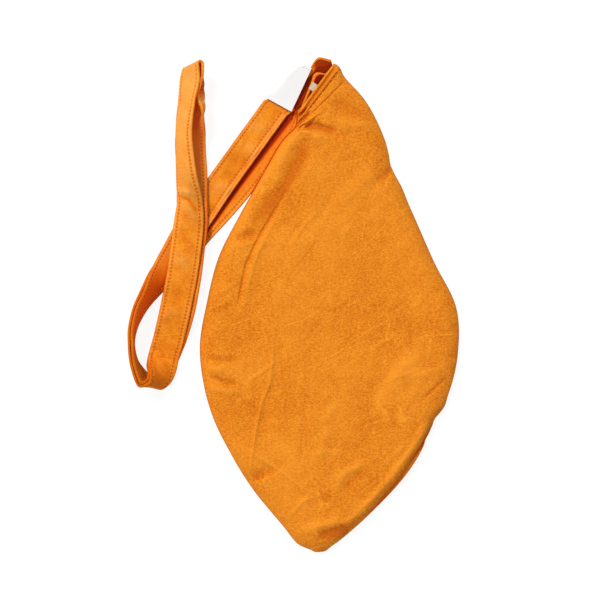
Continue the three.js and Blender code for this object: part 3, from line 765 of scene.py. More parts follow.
def front_cloth(u, v, depth):
    """Front cloth: the seam's height plus (crown - depth) * quarter rounds of the gaps to side and tip,
    plus the relief. Gives its points and the relief as painted shade and highlight, with a painted dark line
    of shade along the seam edge."""
    plan, side_gap, tip_gap = leaf_grid("front", u, v)
    crown = mixed(MOUTH_HEIGHT, CROWN_HEIGHT, smoothstep(0, 0.3, v))[:, None]
    top = (crown - SEAM_HEIGHT - SEAM_PARTING) * (1 - CROWN_FALL * u[None, :] ** 2)
    edge = quarter_round(side_gap, SIDE_ROLL) * quarter_round(tip_gap, TIP_ROLL)
    folds = front_relief(plan, side_gap) * smoothstep(0, 6, tip_gap)
    height = SEAM_HEIGHT + SEAM_PARTING + (top - depth) * edge + folds
    # The relief is also given as painted shade and highlight, with a painted dark line of shade along the
    # seam edge
    return with_height(drawn_in(plan, side_gap, depth, edge), height), folds - 1.3 * bell(side_gap, 0.8)


def back_cloth(u, v, depth):
    """Back cloth: flat on the floor, and rolled up to the seam by quarter rounds of the gaps to side and
    tip. Gives its points and its sag as painted shade and highlight."""
    plan, side_gap, tip_gap = leaf_grid("back", u, v)
    edge = quarter_round(side_gap, UNDERSIDE_ROLL) * quarter_round(tip_gap, UNDERSIDE_TIP_ROLL)
    seam = SEAM_HEIGHT - SEAM_PARTING
    sag = ripples(plan, seed=21, spacing=24, height=0.25) + small_creases(plan, seed=9) * 0.5
    flat = smoothstep(0, 7, side_gap) * smoothstep(0, 8, tip_gap)
    height = seam - (seam - depth) * edge + (UNDERSIDE_LIFT + sag * 0.5) * flat
    return with_height(drawn_in(plan, side_gap, depth, edge), np.maximum(height, 0.05)), sag * flat


def flat_place(points):
    """Place of every point on the flat cloth: rolled edges are laid out sideways from their row's middle."""
    middle = points.shape[1] // 2
    steps = np.diff(points, axis=1)
    stretch = np.linalg.norm(steps, axis=-1) - np.linalg.norm(steps[..., :2], axis=-1)
    walked = np.concatenate([np.zeros((len(points), 1)), np.cumsum(stretch, axis=1)], axis=1)
    walked -= walked[:, middle:middle + 1]
    row = unit(points[:, -1, :2] - points[:, 0, :2])[:, None]
    return points[..., :2] + walked[..., None] * row


# Panels, and how much a millimetre of relief shows as painted shade and highlight

PAINTED_LIGHT_PER_RELIEF = 0.55
DEEPEST_PAINTED_SHADE = -1.4
ROWS_CLOSE_UP = 0.35

panel_u, panel_v = even_columns(241), even_rows(band_share, 321, ROWS_CLOSE_UP)
front_outer, front_wear = front_cloth(panel_u, panel_v, 0)
front_inner = front_cloth(panel_u, panel_v, CLOTH)[0]
front_gap = leaf_grid("front", panel_u, panel_v)[1]
# Painted red glow in deep furrows, standing in for light reflected between folds
furrow_glow = 0.05 * smoothstep(0.9, 2.2, -front_wear) * smoothstep(0.5, 1.2, front_gap)
# The front cloth is made paler toward the mouth and toward the tip
paler_at_ends = 0.1 + 0.2 * smoothstep(0.55, 0.1, panel_v) + 0.2 * smoothstep(0.55, 0.8, panel_v)
below_seam = (panel_v - band_share) / band_share * BAND_WIDTH
seam_dip = 0.55 * bell(below_seam, 0.8)[:, None] * smoothstep(0, 0.25, 1 - np.abs(panel_u))[None]
front_outer[..., 2] -= seam_dip
painted_slope_shading = sum(fold(front_outer[..., :2], line, width, strength) for line, width, strength in PAINTED_SHADING_LINES)
# The relief and the dip at the seam become painted shade and highlight, and the lines add painted shading of
# slopes
front_wear = (front_wear - seam_dip) * PAINTED_LIGHT_PER_RELIEF + paler_at_ends[:, None] - painted_slope_shading
front_panel = cloth_body(
    "front-panel", front_outer, front_inner, bag_cotton, flat_place(front_outer),
    wear=np.clip(front_wear, DEEPEST_PAINTED_SHADE, 1), hollow=furrow_glow,
)

back_u, back_v = even_columns(121), even_rows(band_share, 161, ROWS_CLOSE_UP)
back_outer, back_wear = back_cloth(back_u, back_v, 0)
back_inner = back_cloth(back_u, back_v, CLOTH)[0]
# The back cloth's sag becomes painted shade and highlight
back_panel = cloth_body(
    "back-panel", back_outer, back_inner, bag_cotton, flat_place(back_outer),
    wear=np.clip(back_wear * PAINTED_LIGHT_PER_RELIEF, -1, 1),
)

# Mouth bands, each a doubled strip with a rolled rim

# Height of the front band over its run from the rim: rim cord, groove, hem ridge and the stitched furrow
RIM_RUN = [0, 0.5, 1.1, 1.8, 2.4, 3.0, 3.5, 4.1, 4.8, 5.4, 6.2, 8, 9.4, 10.0, 10.5]
RIM_RISE = [0.3, 1.0, 0.6, -0.7, -0.9, -0.1, 1.0, 0.7, -0.5, -0.3, 0.1, 0.3, 0.3, 0.1, -0.55]

# How high the back rim stands up in the middle of the mouth, and over what run it goes down to the floor
BACK_RIM_LIFT = 4.6
BACK_RIM_LIFT_RUN = 8

band_u, band_v = even_columns(161), np.linspace(0, band_share, 61)
band_run = band_v / band_share * BAND_WIDTH


def back_rim_lift(run):
    """BACK_RIM_LIFT at the rim, and down to 0 by smoothstep over its run."""
    return BACK_RIM_LIFT * (1 - smoothstep(0, BACK_RIM_LIFT_RUN, run))


def lifted_back(u, v, depth):
    """The back band: its rim stands up from the floor in the middle of the mouth."""
    points, wear = back_cloth(u, v, depth)
    points[..., 2] += back_rim_lift(v / band_share * BAND_WIDTH)[:, None] * (1 - u[None, :] ** 4)
    return points, wear


def mouth_band(name, cloth, rise, hollow=0.0):
    """A band of doubled cloth. A quarter round of its half thickness rolls the rim, and the rim's profile
    times rise is added to its height. That profile is also painted as shade and highlight, and the last
    argument is how strong the painted dark red shade behind the rim is. Gives its face too."""
    outer, wear = cloth(band_u, band_v, 0)
    inner = cloth(band_u, band_v, BAND_THICKNESS)[0]
    middle = (outer + inner) / 2
    thin = (1 - quarter_round(band_run + 0.02, BAND_THICKNESS / 2))[:, None, None]
    outer = outer + (middle - outer) * thin
    inner = inner + (middle - inner) * thin
    side_share = 1 - np.abs(band_u)
    bulge = np.interp(band_run, RIM_RUN, RIM_RISE)[:, None] * rise * smoothstep(0, 0.25, side_share)[None]
    outer[..., 2] += bulge
    inner[..., 2] += bulge * smoothstep(2.5, 0, band_run)[:, None]
    # Painted dark red shade behind the rim
    inside = hollow * smoothstep(0.9, 1.6, band_run)[:, None] * smoothstep(0, 0.1, side_share)[None]
    # Painted highlight on the rim's cord and hem ridge, painted shade in its groove and furrows
    relief_painted_light = np.clip(bulge * 1.1 + wear * 0.5, DEEPEST_PAINTED_SHADE, 1)
    return cloth_body(name, outer, inner, bag_cotton, flat_place(outer), wear=relief_painted_light, hollow=inside), outer


front_band, front_band_face = mouth_band("front-mouth-band", front_cloth, 1.0)
# The back band has painted dark red shade behind its rim
back_band, back_band_face = mouth_band("back-mouth-band", lifted_back, 0.25, hollow=2.6)


# Strap: a section of doubled cloth carried along a lay

# Half thickness of the doubled cloth at insets from its edge: rounded at the hem, and a step thinner inside
HEM_HALF = 0.95
HEM_ROUNDING = 1.1
HEM_STEP = 0.12
SECTION_INSET = np.array([
    0, 0.06, 0.22, 0.5, 0.9, 1.4, 1.8, 2.1, 2.4, 2.7, 3.0, 3.3, 3.6, 3.9, 4.2, 4.5, 4.8, 5.1, 5.5, 6.1, 6.7,
    7.3, 7.9, 8.5, 9.1, 9.8, 10.5, HALF_STRAP,
])
half_share = 1 - SECTION_INSET / HALF_STRAP
hem_step = HEM_STEP * smoothstep(3, 6, SECTION_INSET)
half_section = HEM_HALF * quarter_round(SECTION_INSET, HEM_ROUNDING) - hem_step
section_share = np.concatenate([-half_share, half_share[-2::-1]])
section_half = np.concatenate([half_section, half_section[-2::-1]])


class Lay:
    """Stations of a strip: centres, unit vectors across it, face normals, half widths and walked lengths."""

    def __init__(self, centre, across, normal, half_width=HALF_STRAP, arch=0.0):
        self.walked = walk(centre)
        self.centre = centre
        self.across = unit(across)
        self.normal = unit(normal)
        self.half_width = np.broadcast_to(half_width, self.walked.shape)
        self.arch = np.broadcast_to(arch, self.walked.shape)

    def evened(self, step):
        """The same lay with its stations about a step apart."""
        count = max(int(round(self.walked[-1] / step)), 4) + 1
        at = np.linspace(0, self.walked[-1], count)
        vectors = (at_places(at, self.walked, values) for values in (self.centre, self.across, self.normal))
        numbers = (np.interp(at, self.walked, values) for values in (self.half_width, self.arch))
        return Lay(*vectors, *numbers)


STATIONS_PER_ROW = 40


def lay_out(rows, origin, direction, length):
    """Lay from rows of percent along, strap widths across, azimuth and tilt of the width, and more values."""
    right_hand = np.array([direction[1], -direction[0], 0])
    right_hand = right_hand if right_hand[0] > 0 else -right_hand
    last = len(rows) - 1
    table = smooth_rows(rows, np.linspace(0, last, last * STATIONS_PER_ROW + 1))
    azimuth, tilt = np.radians(table[:, 2]), np.radians(table[:, 3])
    centre = origin + table[:, :1] / 100 * length * direction + table[:, 1:2] * STRAP_WIDTH * right_hand
    across = np.stack([np.cos(azimuth) * np.cos(tilt), np.sin(azimuth) * np.cos(tilt), -np.sin(tilt)], axis=1)
    run = np.gradient(centre, axis=0)
    run[:, 2] = 0
    normal = unit(np.cross(unit(run), across))
    return centre, across, normal, tilt, table


def resting(tilt, base, half=HALF_STRAP):
    """Height of a strip's centre when its lower edge rests at the height base."""
    return base + half * np.abs(np.sin(tilt)) + STRAP_THICKNESS / 2 * np.cos(tilt)


def arched_half(arch):
    """Half chord of a strip that is arched across its width by a parabola: h + 2/3 * arch^2 / h is half the
    width of the strip."""
    wide = HALF_STRAP / 2
    return wide + np.sqrt(np.maximum(wide * wide - 2 / 3 * arch * arch, 0))


# Percent along, widths across, azimuth, tilt, extra layer steps down and widths across of the lower leg
LEG_LAY = [
    [0, 0, -35, 0, 0, 0.35], [9, -0.17, -35, 0, 0, 0.52], [18, -0.34, -35, 0, 0, 0.5],
    [29.4, -0.55, -35, 0, 0, 0.43], [38.6, -0.71, -35, 0, 0, 0.33], [47.8, -0.87, -34, 2, 0, 0.22],
    [58.8, -0.95, -34, 14, 0, 0.11],
    [69.7, -1.1, -32, 58, -0.06, 0], [77.4, -1.18, -25, 74, -0.1, 0], [83.8, -1.11, -10, 84, -0.1, 0],
    [88.6, -0.92, 5, 88, -0.1, 0], [92.7, -0.65, 17, 85, -0.1, 0], [95.3, -0.35, 28, 76, -0.06, 0],
    [97.0, -0.06, 28, 67, 0, 0], [96.9, 0.18, -22, 62, 0.05, 0], [94.6, 0.25, -24, 46, 0.05, 0],
    [91.8, 0.2, -15, 22, 0, 0], [88.3, 0.13, -13, 0, 0, 0],
]
# The loop's two layers, from the turn to the top: percent along, widths across, azimuth, tilt, the lower
# edge's height in layer steps and the arch in millimetres
LOOP_BACK_LAY = [
    [16.2, 0.62, -14, 0, 0.96, 0], [24.8, 0.75, -13, 0, 2.85, 0], [35.3, 0.79, -12, 0, 3.3, 0],
    [44.2, 0.76, -8, 0, 3.2, 0], [51, 0.73, -3, 0, 2.8, 0], [58.3, 0.6, 0, 0, 2.25, 0],
    [66, 0.47, 1, 0, 2.1, 0], [75.7, 0.25, 0, -4, 1.35, 0], [81.3, 0.25, -3, -40, 0.77, 3],
    [85.5, 0.32, -4, -72, 0.7, 5], [87.5, 0.22, -4, -75.5, 0.65, 6], [89.5, 0.2, -4, -84, 0.6, 6],
    [91.5, 0.17, -3, -76, 0.57, 5.1], [93.2, 0.17, 0, -72, 0.54, 4.6], [95.5, 0.12, 10, -62, 0.54, 2],
    [97.5, 0.06, 22, -54, 0.54, 0],
]
LOOP_FRONT_LAY = [
    [16.2, 0.54, -14, 0, 0.96, 0], [24.8, 0.61, -13, 0, 2.85, 0], [35.3, 0.66, -12, 0, 3.3, 0.4],
    [44.2, 0.65, -8, -3, 3.2, 1], [49, 0.63, -4, -3, 2.9, 1.6], [53, 0.6, -2, -4, 2.6, 3.4],
    [58.3, 0.53, 0, -6, 2.25, 5.5],
    [66, 0.31, 2, -36, 2.1, 5.5], [75.7, 0.08, 1, -52, 1.35, 5], [81.3, -0.01, -3, -56, 0.77, 3],
    [87.9, -0.05, -7, -56, 0.62, 1], [93.2, -0.05, -2, -49, 0.54, 0.5], [97.5, -0.1, 22, -54, 0.54, 0],
]
# Where the strap leaves the mouth, from its lower corner; how much slimmer the upper leg is there on each
# side, and how high the loop's front layer lies over the back one, in layer steps
STRAP_FOLD_OFFSET = [-15.3, 2.9]
LEG_SLIMMING = 1.1
FRONT_LAYER = 0.84

strap_fold = np.array([*(lower_corner + STRAP_FOLD_OFFSET), 0])
leg_direction, loop_direction = heading(LEG_AZIMUTH), heading(LOOP_AZIMUTH)
lower_turn = strap_fold + leg_direction * LEG_LENGTH

centre, across, normal, tilt, table = lay_out(LEG_LAY, strap_fold, leg_direction, LEG_LENGTH)
layer_step = LAYER_STEP * (1 + table[:, 4:5])
side_step = STRAP_WIDTH * table[:, 5:6]
drop = normal[:, 2:] * layer_step - across[:, 2:] * side_step
centre[:, 2] = resting(tilt, np.maximum(drop[:, 0], 0))
slim = LEG_SLIMMING * (1 - smoothstep(25, 65, table[:, :1]))
upper_leg_lay = Lay(centre - across * slim, across, normal, HALF_STRAP - slim[:, 0])
lower_leg_lay = Lay(centre - normal * layer_step + across * side_step, across, normal)


def loop_layer(rows, start, layer):
    """One layer of the loop, led in from a leg's end: centres, unit vectors across, normals and arches."""
    centre, across, normal, tilt, table = lay_out(rows, lower_turn, loop_direction, LOOP_LENGTH)
    arch = np.maximum(table[:, 5:6], 0)
    centre[:, 2] = resting(tilt, (table[:, 4] + layer) * LAYER_STEP, arched_half(arch[:, 0]))
    lead = np.linspace(0, 1, 30)[:, None]
    lead_centre = mixed(start.centre[-1], centre[0], lead)
    lead_centre[:, 2:] = mixed(start.centre[-1, 2], centre[0, 2], smoothstep(0, 1, lead))
    lead_across = mixed(start.across[-1], across[0], lead)
    lead_normal = np.broadcast_to(normal[0], lead_centre.shape)
    leads = (lead_centre, lead_across, lead_normal, np.zeros_like(lead))
    layer_parts = (centre, across, normal, arch)
    return [np.concatenate([first[:-1], second]) for first, second in zip(leads, layer_parts)]


loop_back = loop_layer(LOOP_BACK_LAY, upper_leg_lay, 0)
loop_front = loop_layer(LOOP_FRONT_LAY, lower_leg_lay, FRONT_LAYER)


def loop_fold(front, back):
    """Half a circle over the top: normals turn from the front layer's to the back one's."""
    middle, spread = (front[0][-1] + back[0][-1]) / 2, back[0][-1] - front[0][-1]
    out = unit(spread)
    run = unit(np.cross(front[1][-1], out))
    run = run if run @ loop_direction > 0 else -run
    turn = np.linspace(0, pi, 25)[1:-1, None]
    normals = np.cos(turn) * out - np.sin(turn) * run
    centres = middle - np.linalg.norm(spread) / 2 * normals
    return [centres, np.broadcast_to(front[1][-1], centres.shape), normals, np.zeros_like(turn)]


top_fold = loop_fold(loop_front, loop_back)
turned_back = [loop_back[0][::-1], loop_back[1][::-1], -loop_back[2][::-1], loop_back[3][::-1]]
loop_parts = [np.concatenate(parts) for parts in zip(loop_front, top_fold, turned_back)]
loop_lay = Lay(*loop_parts[:3], arched_half(loop_parts[3][:, 0]), loop_parts[3][:, 0])


def strip_curl(lay, seed, doubled):
    """Waviness of a strap: slow bends across and along it. The two halves of a doubled one bend alike."""
    half = lay.walked[-1] / 2
    along = np.minimum(lay.walked, 2 * half - lay.walked) if doubled else lay.walked
    walked, share = np.meshgrid(along, section_share, indexing="ij")
    plan = np.stack([walked, share * HALF_STRAP], axis=-1)
    waves = ripples(plan, seed, spacing=17, height=0.3) + ripples(plan, seed + 1, spacing=7, height=0.14)
    past = half - lay.walked
    return waves * (np.tanh(past / 8) * (1 - 0.75 * bell(past, 60)))[:, None] if doubled else waves


# How much paler the strap is made by its height in the plan: heights, and what it adds to the tone, which
# below 0 is deeper and above 0 stays left of an edge
PALENESS_BY_HEIGHT = [-35, -5, 70, 105, 165], [-0.7, -0.1, 0, 0.4, 0.9]
PALENESS_EDGE = -80, -95

# Distance between stations of a strap, and where its underside starts on the flat strip
STRAP_STEP = 0.65
UNDERSIDE_PLACE = 23

# How deep and wide a row draws the cloth in, and how much more or less it does so at and between its stitches
ROW_DEPTH, ROW_REACH = 0.5, 0.6
STITCH_DEPTH, STITCH_REACH = 0.2, 0.7


def both(upper, lower):
    """Values once round a strip: across its upper side and back across its lower one."""
    return np.concatenate([upper, lower[:, -2:0:-1]], axis=1)


def strap_piece(name, lay, seed, curl, shade, sewn=1, doubled=False, inner_row=STITCH_INSET):
    """Doubled cloth: the section's half thickness, drawn in at every stitch, is laid off on both sides of its
    middle surface. The inner edge's stitches have their own inset. Gives the piece, its lay, and the middle
    surface with its normals."""
    lay = lay.evened(STRAP_STEP)
    across = section_share[None, :, None] * lay.half_width[:, None, None] * lay.across[:, None]
    waves = strip_curl(lay, seed, doubled)
    if curl is not None:
        waves = waves + curl(lay, section_share, lay.centre[:, None] + across)
    flat = waves - lay.arch[:, None] * (1 - section_share**2)[None]
    middle = lay.centre[:, None] + across + flat[..., None] * lay.normal[:, None]
    normals = unit(np.cross(np.gradient(middle, axis=1), np.gradient(middle, axis=0)))
    normals = normals * np.where((normals * lay.normal[:, None]).sum(axis=-1, keepdims=True) < 0, -1, 1)
    inset = HALF_STRAP - np.abs(section_share) * HALF_STRAP
    from_row = inset - np.where(section_share > 0, inner_row, STITCH_INSET)
    groove = bell(from_row, STITCH_REACH)[None]
    beat = np.cos(2 * pi * lay.walked / STITCH_PITCH)[:, None]
    sewn_half = section_half - ROW_DEPTH * bell(from_row, ROW_REACH)
    half = sewn_half[None] + STITCH_DEPTH * sewn * beat * groove * (section_half[None] > 0)
    top, bottom = middle + half[..., None] * normals, middle - half[..., None] * normals
    u = np.concatenate([section_share * HALF_STRAP, UNDERSIDE_PLACE - section_share[-2:0:-1] * HALF_STRAP])
    place = np.stack(np.meshgrid(lay.walked, u, indexing="ij")[::-1], axis=-1)
    # Painted highlight on the thick hem, and painted shade at the rims and along the stitch rows
    relief_painted_light = np.clip(3.2 * half - 2.6, -1, 0.5)
    # Painted shade in the stitch holes between stitches
    pits = sewn * groove * (0.5 - 0.5 * beat)
    # Paler toward the top of the plan and deeper toward its bottom
    paleness = np.interp(middle[..., 1], *PALENESS_BY_HEIGHT)
    paleness = np.where(paleness > 0, paleness * smoothstep(*PALENESS_EDGE, middle[..., 0]), paleness)
    # Painted light on the crests of the waves and painted shade in their dips
    waved = 0.35 * waves
    wear = np.clip(both(relief_painted_light + waved + paleness, relief_painted_light - waved + paleness), -1, 1) - both(pits, pits)
    # Painted red glow and painted dark red shade on each face, from the shade function
    deep = both(*(np.zeros_like(pits) + side for side in shade(lay, section_share)))
    piece = carried_section(name, both(top, bottom), strap_cotton, place, wear=wear, hollow=deep)
    return piece, lay, middle, normals


# Folds of the strap: line in millimetres, width and height
LEG_FOLDS = [
    ([(-63, 135), (-52, 128), (-46, 124)], 5, 1.5),
    ([(-72, 127), (-60, 120), (-52, 117)], 4.5, -1.9),
    ([(-84, 107), (-72, 100), (-64, 95)], 5, 1.6),
    ([(-79, 116), (-68, 109), (-60, 106)], 4, -1.2),
    ([(-60, 150), (-52, 147), (-45, 148)], 3.5, 1.0),
    ([(-93, 91), (-82, 84), (-76, 78)], 4, -1.2),
]
LOOP_FOLDS = [
    ([(-109.5, 97), (-102.2, 94.5), (-95, 84)], 1.5, -1.9),
    ([(-111, 103), (-104, 100.5), (-99, 99.5)], 2.6, 1.3),
    ([(-108, 92), (-101, 87), (-96, 78)], 2.2, 0.8),
    ([(-134, -8), (-129, -14), (-124, -15)], 1.3, -0.8),
    ([(-133, -12), (-127, -18), (-121, -18)], 1.8, 0.8),
    ([(-116, 58), (-108, 50), (-102, 52)], 4, 1.0),
    ([(-121, 31), (-112, 24), (-104, 28)], 4, -1.0),
    ([(-124, 8), (-115, 14), (-108, 12)], 3.5, 1.0),
    ([(-110, 170), (-104, 164), (-99, 168)], 5, -0.8),
]

left_outline = rungs(np.linspace(0, 0.45, 46))[0]
away_from_rims = 1 - smoothstep(0.84, 0.93, np.abs(section_share))[None]


def hem_line(share):
    """The narrow furrow between a leg's inner row of stitches and its edge."""
    return bell(HALF_STRAP - share * HALF_STRAP - HEM_LINE_INSET, 0.4)


def beside_bag(lay, share):
    """1 on a strip next to the bag's left edge, which lies on it; it marks where painted dark red shade goes.
    """
    plan = lay.centre[:, None] + share[None, :, None] * (lay.half_width[:, None] * lay.across)[:, None]
    return 1 - smoothstep(0.4, 1.3, line_distance(plan[..., :2], left_outline)[0])


def strap_folds(plan, folds, share, margin):
    """The sum of the strap's own folds, which run out over a margin at both of its edges."""
    total = sum(fold(plan[..., :2], line, width, height) for line, width, height in folds)
    return total * smoothstep(0, margin, 1 - np.abs(share))[None]


def leg_curl(lay, share, plan):
    """The upper leg's inner margin stands up from the lower leg where both lie flat; soft slanting folds."""
    flat_part = 1 - smoothstep(100, 150, lay.walked)
    margin = 1.1 * flat_part[:, None] * (smoothstep(0.35, 1.0, share) - 0.3 * hem_line(share))[None]
    return margin + strap_folds(plan, LEG_FOLDS, share, 0.3)


def loop_curl(lay, share, plan):
    """Folds of the loop's front layer; its face normal points down, so ridges are laid off against it."""
    front = smoothstep(0, 12, np.argmin(lay.centre @ -loop_direction) - np.arange(len(lay.walked)))[:, None]
    return -front * strap_folds(plan, LOOP_FOLDS, share, 0.2)


def standing_glow(lay):
    """How much painted glow, standing in for reflected light, a leg's inner face gets where it stands on its
    edge before the turn: least at its rims.
    """
    along = smoothstep(125, 160, lay.walked) - smoothstep(196, 222, lay.walked)
    return along[:, None] * (0.2 + 0.8 * away_from_rims)


def past_side_step(share, step):
    """How far a place on the lower leg lies beyond the upper leg's edge."""
    return share * HALF_STRAP - (HALF_STRAP - step)


def leg_shade(lay, share):
    """The lower leg's upper face gets painted dark red shade beside the upper leg's edge and beside the bag's
    edge, and a painted glow between the two legs.
    """
    step = np.interp(lay.walked, lower_leg_lay.walked, side_step[:, 0])
    beyond = past_side_step(share[None], step[:, None])
    wide = np.interp(lay.walked, [0, 40, 90], [2.8, 1.8, 1.0])[:, None]
    near_mouth = (1 - smoothstep(110, 145, lay.walked))[:, None]
    dark = 1.9 * (1 - smoothstep(wide - 1.2, wide + 1.5, beyond)) * near_mouth
    return np.maximum(np.maximum(standing_glow(lay), dark), 1.8 * beside_bag(lay, share)), 0


def under_shade(lay, share):
    """The upper leg's inner face gets a painted glow where it stands on its edge, and painted shade along its
    hem line.
    """
    line = 1.65 * hem_line(share)[None] * (1 - smoothstep(110, 160, lay.walked))[:, None]
    return np.maximum(standing_glow(lay), line), 0


def loop_shade(lay, share):
    """Inside, the loop gets a painted glow of reflected light around its top, and only its rims get it
    farther down. Outside, its back layer gets painted dark red shade under the top."""
    past = (lay.walked - lay.walked[-1] * 0.5)[:, None]
    from_top = np.abs(past)
    glow = 0.4 * (1 - smoothstep(66, 92, from_top)) + 0.8 * (1 - smoothstep(6, 24, from_top))
    rims = 0.65 * (1 - away_from_rims) * smoothstep(60, 100, from_top)
    outside = smoothstep(2, 8, past) - smoothstep(18, 26, past)
    inner_half = (smoothstep(-0.3, 0.2, share) - smoothstep(0.88, 0.96, share))[None]
    return glow * away_from_rims + rims, 1.6 * outside * inner_half


upper_leg, upper_leg_even, *upper_leg_skin = strap_piece(
    "upper-strap-leg", upper_leg_lay, 31, leg_curl, under_shade, inner_row=INNER_ROW_INSET,
)
lower_leg, lower_leg_even, *lower_leg_skin = strap_piece(
    "lower-strap-leg", lower_leg_lay, 31, None, leg_shade,
)
far_loop, loop_even, *loop_skin = strap_piece("strap-loop", loop_lay, 51, loop_curl, loop_shade, doubled=True)


# Strap ends, sewn along the back rim

back_rim = back_band_face[0]
RIM_INSET = 2.2

# Place along the rim, the outer edge's place from the mouth's upper corner in strap widths, and both heights
UPPER_END = [
    [-0.5, -1.76, -0.94, 2.2, 2.0], [-0.1, -1.36, -0.42, 2.2, 1.4], [0.25, -0.84, -0.24, 3.4, 1.0],
    [0.42, -0.58, 0.12, 6.2, 0.9], [0.6, -0.42, 0.23, 7.4, 0.9], [0.87, -0.06, 0.13, 7.2, 1.2],
]
LOWER_END = [
    [-0.9, -1.91, -0.93, 0.8, 0.8], [-0.6, -1.73, -0.8, 0.8, 0.8], [-0.3, -1.38, -0.71, 0.8, 0.8],
]


def strap_end(name, lay, rows, seed, shade):
    """From the leg's first station the strip turns along the back rim, where its inner edge is sewn. Each row
    carries both of its edges, and a smooth curve runs through the rows."""
    half = lay.across[0] * lay.half_width[0]
    table = [[*(lay.centre[0] - half), *(lay.centre[0] + half)]]
    for u, x, y, outer_height, inner_height in rows:
        rim = at_places(u, band_u, back_rim)[:2] + inward * RIM_INSET
        corner = upper_corner + np.array([x, y]) * STRAP_WIDTH
        table.append([*corner, outer_height, *rim, inner_height])
    table = smooth_rows(table, np.linspace(0, len(table) - 1, 160))
    first, second = table[:, :3], table[:, 3:]
    centre = (first + second) / 2
    across = second - first
    normal = np.cross(across, np.gradient(centre, axis=0))
    normal = normal * np.sign(normal[:, 2:])
    lay = Lay(centre[::-1], across[::-1], normal[::-1], np.linalg.norm(across, axis=1)[::-1] / 2)
    return strap_piece(name, lay, seed, None, shade, sewn=0)[:2]


def upper_end_shade(lay, share):
    """Painted dark red shade behind the bright outer rim at the mouth; farther down only a strip of it beside
    the label.
    """
    patch = (1 - smoothstep(11, 17, lay.walked))[:, None] * smoothstep(-0.92, -0.8, share)[None]
    beside_label = np.interp(lay.walked, [0, 26, 34, 40, 46, 51], [0, 0.1, 0.35, 0.55, 0.75, 1.3])[:, None]
    strip = smoothstep(-0.3, -0.1, share[None] - beside_label)
    return np.maximum(1.75 * patch, 1.9 * strip), 0


def lower_end_shade(lay, share):
    """Next to the leg the lower end's upper face gets painted dark red shade beside the upper end's edge and
    beside the bag's edge.
    """
    beyond = past_side_step(share, side_step[0, 0])
    near_leg = smoothstep(lay.walked[-1] - 26, lay.walked[-1] - 14, lay.walked)
    dark = near_leg[:, None] * (1 - smoothstep(2.6, 4.3, beyond))[None]
    return np.maximum(1.9 * dark, 1.8 * beside_bag(lay, share)), 0


upper_end, upper_end_even = strap_end("upper-strap-end", upper_leg_lay, UPPER_END, 61, upper_end_shade)
lower_end, lower_end_even = strap_end("lower-strap-end", lower_leg_lay, LOWER_END, 71, lower_end_shade)


# Stitches

# A stitch: shares of its half length, and its thickness and rise there in shares of its radius
SPINDLE_ALONG = np.array([-1, -0.72, 0, 0.72, 1])
SPINDLE_RADIUS = np.array([0.2, 0.85, 1, 0.85, 0.2])
SPINDLE_LIFT = np.array([-0.9, 0.15, 0.5, 0.15, -0.9])
SIDES = 6

STITCH_LIFT = 0.5
RIM_STITCH_RUN = 4.9
RIM_STITCH_PITCH = 4.0


def six_sided(side, top):
    """Six unit vectors round each station of a path: cos(turn) * side + sin(turn) * top."""
    turn = (np.arange(SIDES) * pi / 3)[:, None]
    return np.cos(turn) * side[:, None] + np.sin(turn) * top[:, None]


def stitches(name, places, runs, normals, length, radius, material):
    """One spindle per place, along its run: six-sided rings whose ends dip into the cloth."""
    runs, normals = unit(runs), unit(normals)
    along = SPINDLE_ALONG[None, :, None, None] * length / 2 * runs[:, None, None]
    lift = SPINDLE_LIFT[None, :, None, None] * radius * normals[:, None, None]
    ring = radius * SPINDLE_RADIUS[None, :, None, None] * six_sided(np.cross(normals, runs), normals)[:, None]
    points = (places[:, None, None] + along + lift + ring).reshape(-1, 3)
    rings = len(SPINDLE_ALONG)
    caps = np.stack([np.arange(SIDES)[::-1], (rings - 1) * SIDES + np.arange(SIDES)])
    start = (np.arange(len(places)) * rings * SIDES)[:, None, None]
    faces = [(tube_faces(rings, SIDES)[None] + start).reshape(-1, 4), (caps[None] + start).reshape(-1, SIDES)]
    return make_piece(name, points, faces, material)


def strip_stitches(name, lay, skin, edge, inset):
    """A row of stitches on both faces of a strap, at an inset from its edge."""
    column = np.argmin(np.abs(section_share - edge * (1 - inset / HALF_STRAP)))
    at = np.arange(STITCH_PITCH, lay.walked[-1] - STITCH_PITCH / 2, STITCH_PITCH)
    middle, normals = (values[:, column] for values in skin)
    run = at_places(at + 0.5, lay.walked, middle) - at_places(at - 0.5, lay.walked, middle)
    up, place = at_places(at, lay.walked, normals), at_places(at, lay.walked, middle)
    places = np.concatenate([place + STITCH_LIFT * up, place - STITCH_LIFT * up])
    return stitches(
        name, places, np.concatenate([run, run]), np.concatenate([up, -up]), length=1.7, radius=0.36,
        material=strap_thread,
    )


def rim_stitches(name, face):
    """Stitches along the face of a mouth band, at their run from its rim."""
    row = np.argmin(np.abs(band_run - RIM_STITCH_RUN))
    line = face[row]
    walked = walk(line)
    at = np.arange(3, walked[-1] - 2, RIM_STITCH_PITCH)
    cross = at_places(at, walked, face[row + 2] - face[row - 2])
    runs = at_places(at + 0.5, walked, line) - at_places(at - 0.5, walked, line)
    normals = np.cross(cross, runs)
    normals = normals * np.sign(normals[:, 2:])
    places = at_places(at, walked, line)
    return stitches(name, places, runs, normals, length=2.4, radius=0.3, material=rim_thread)


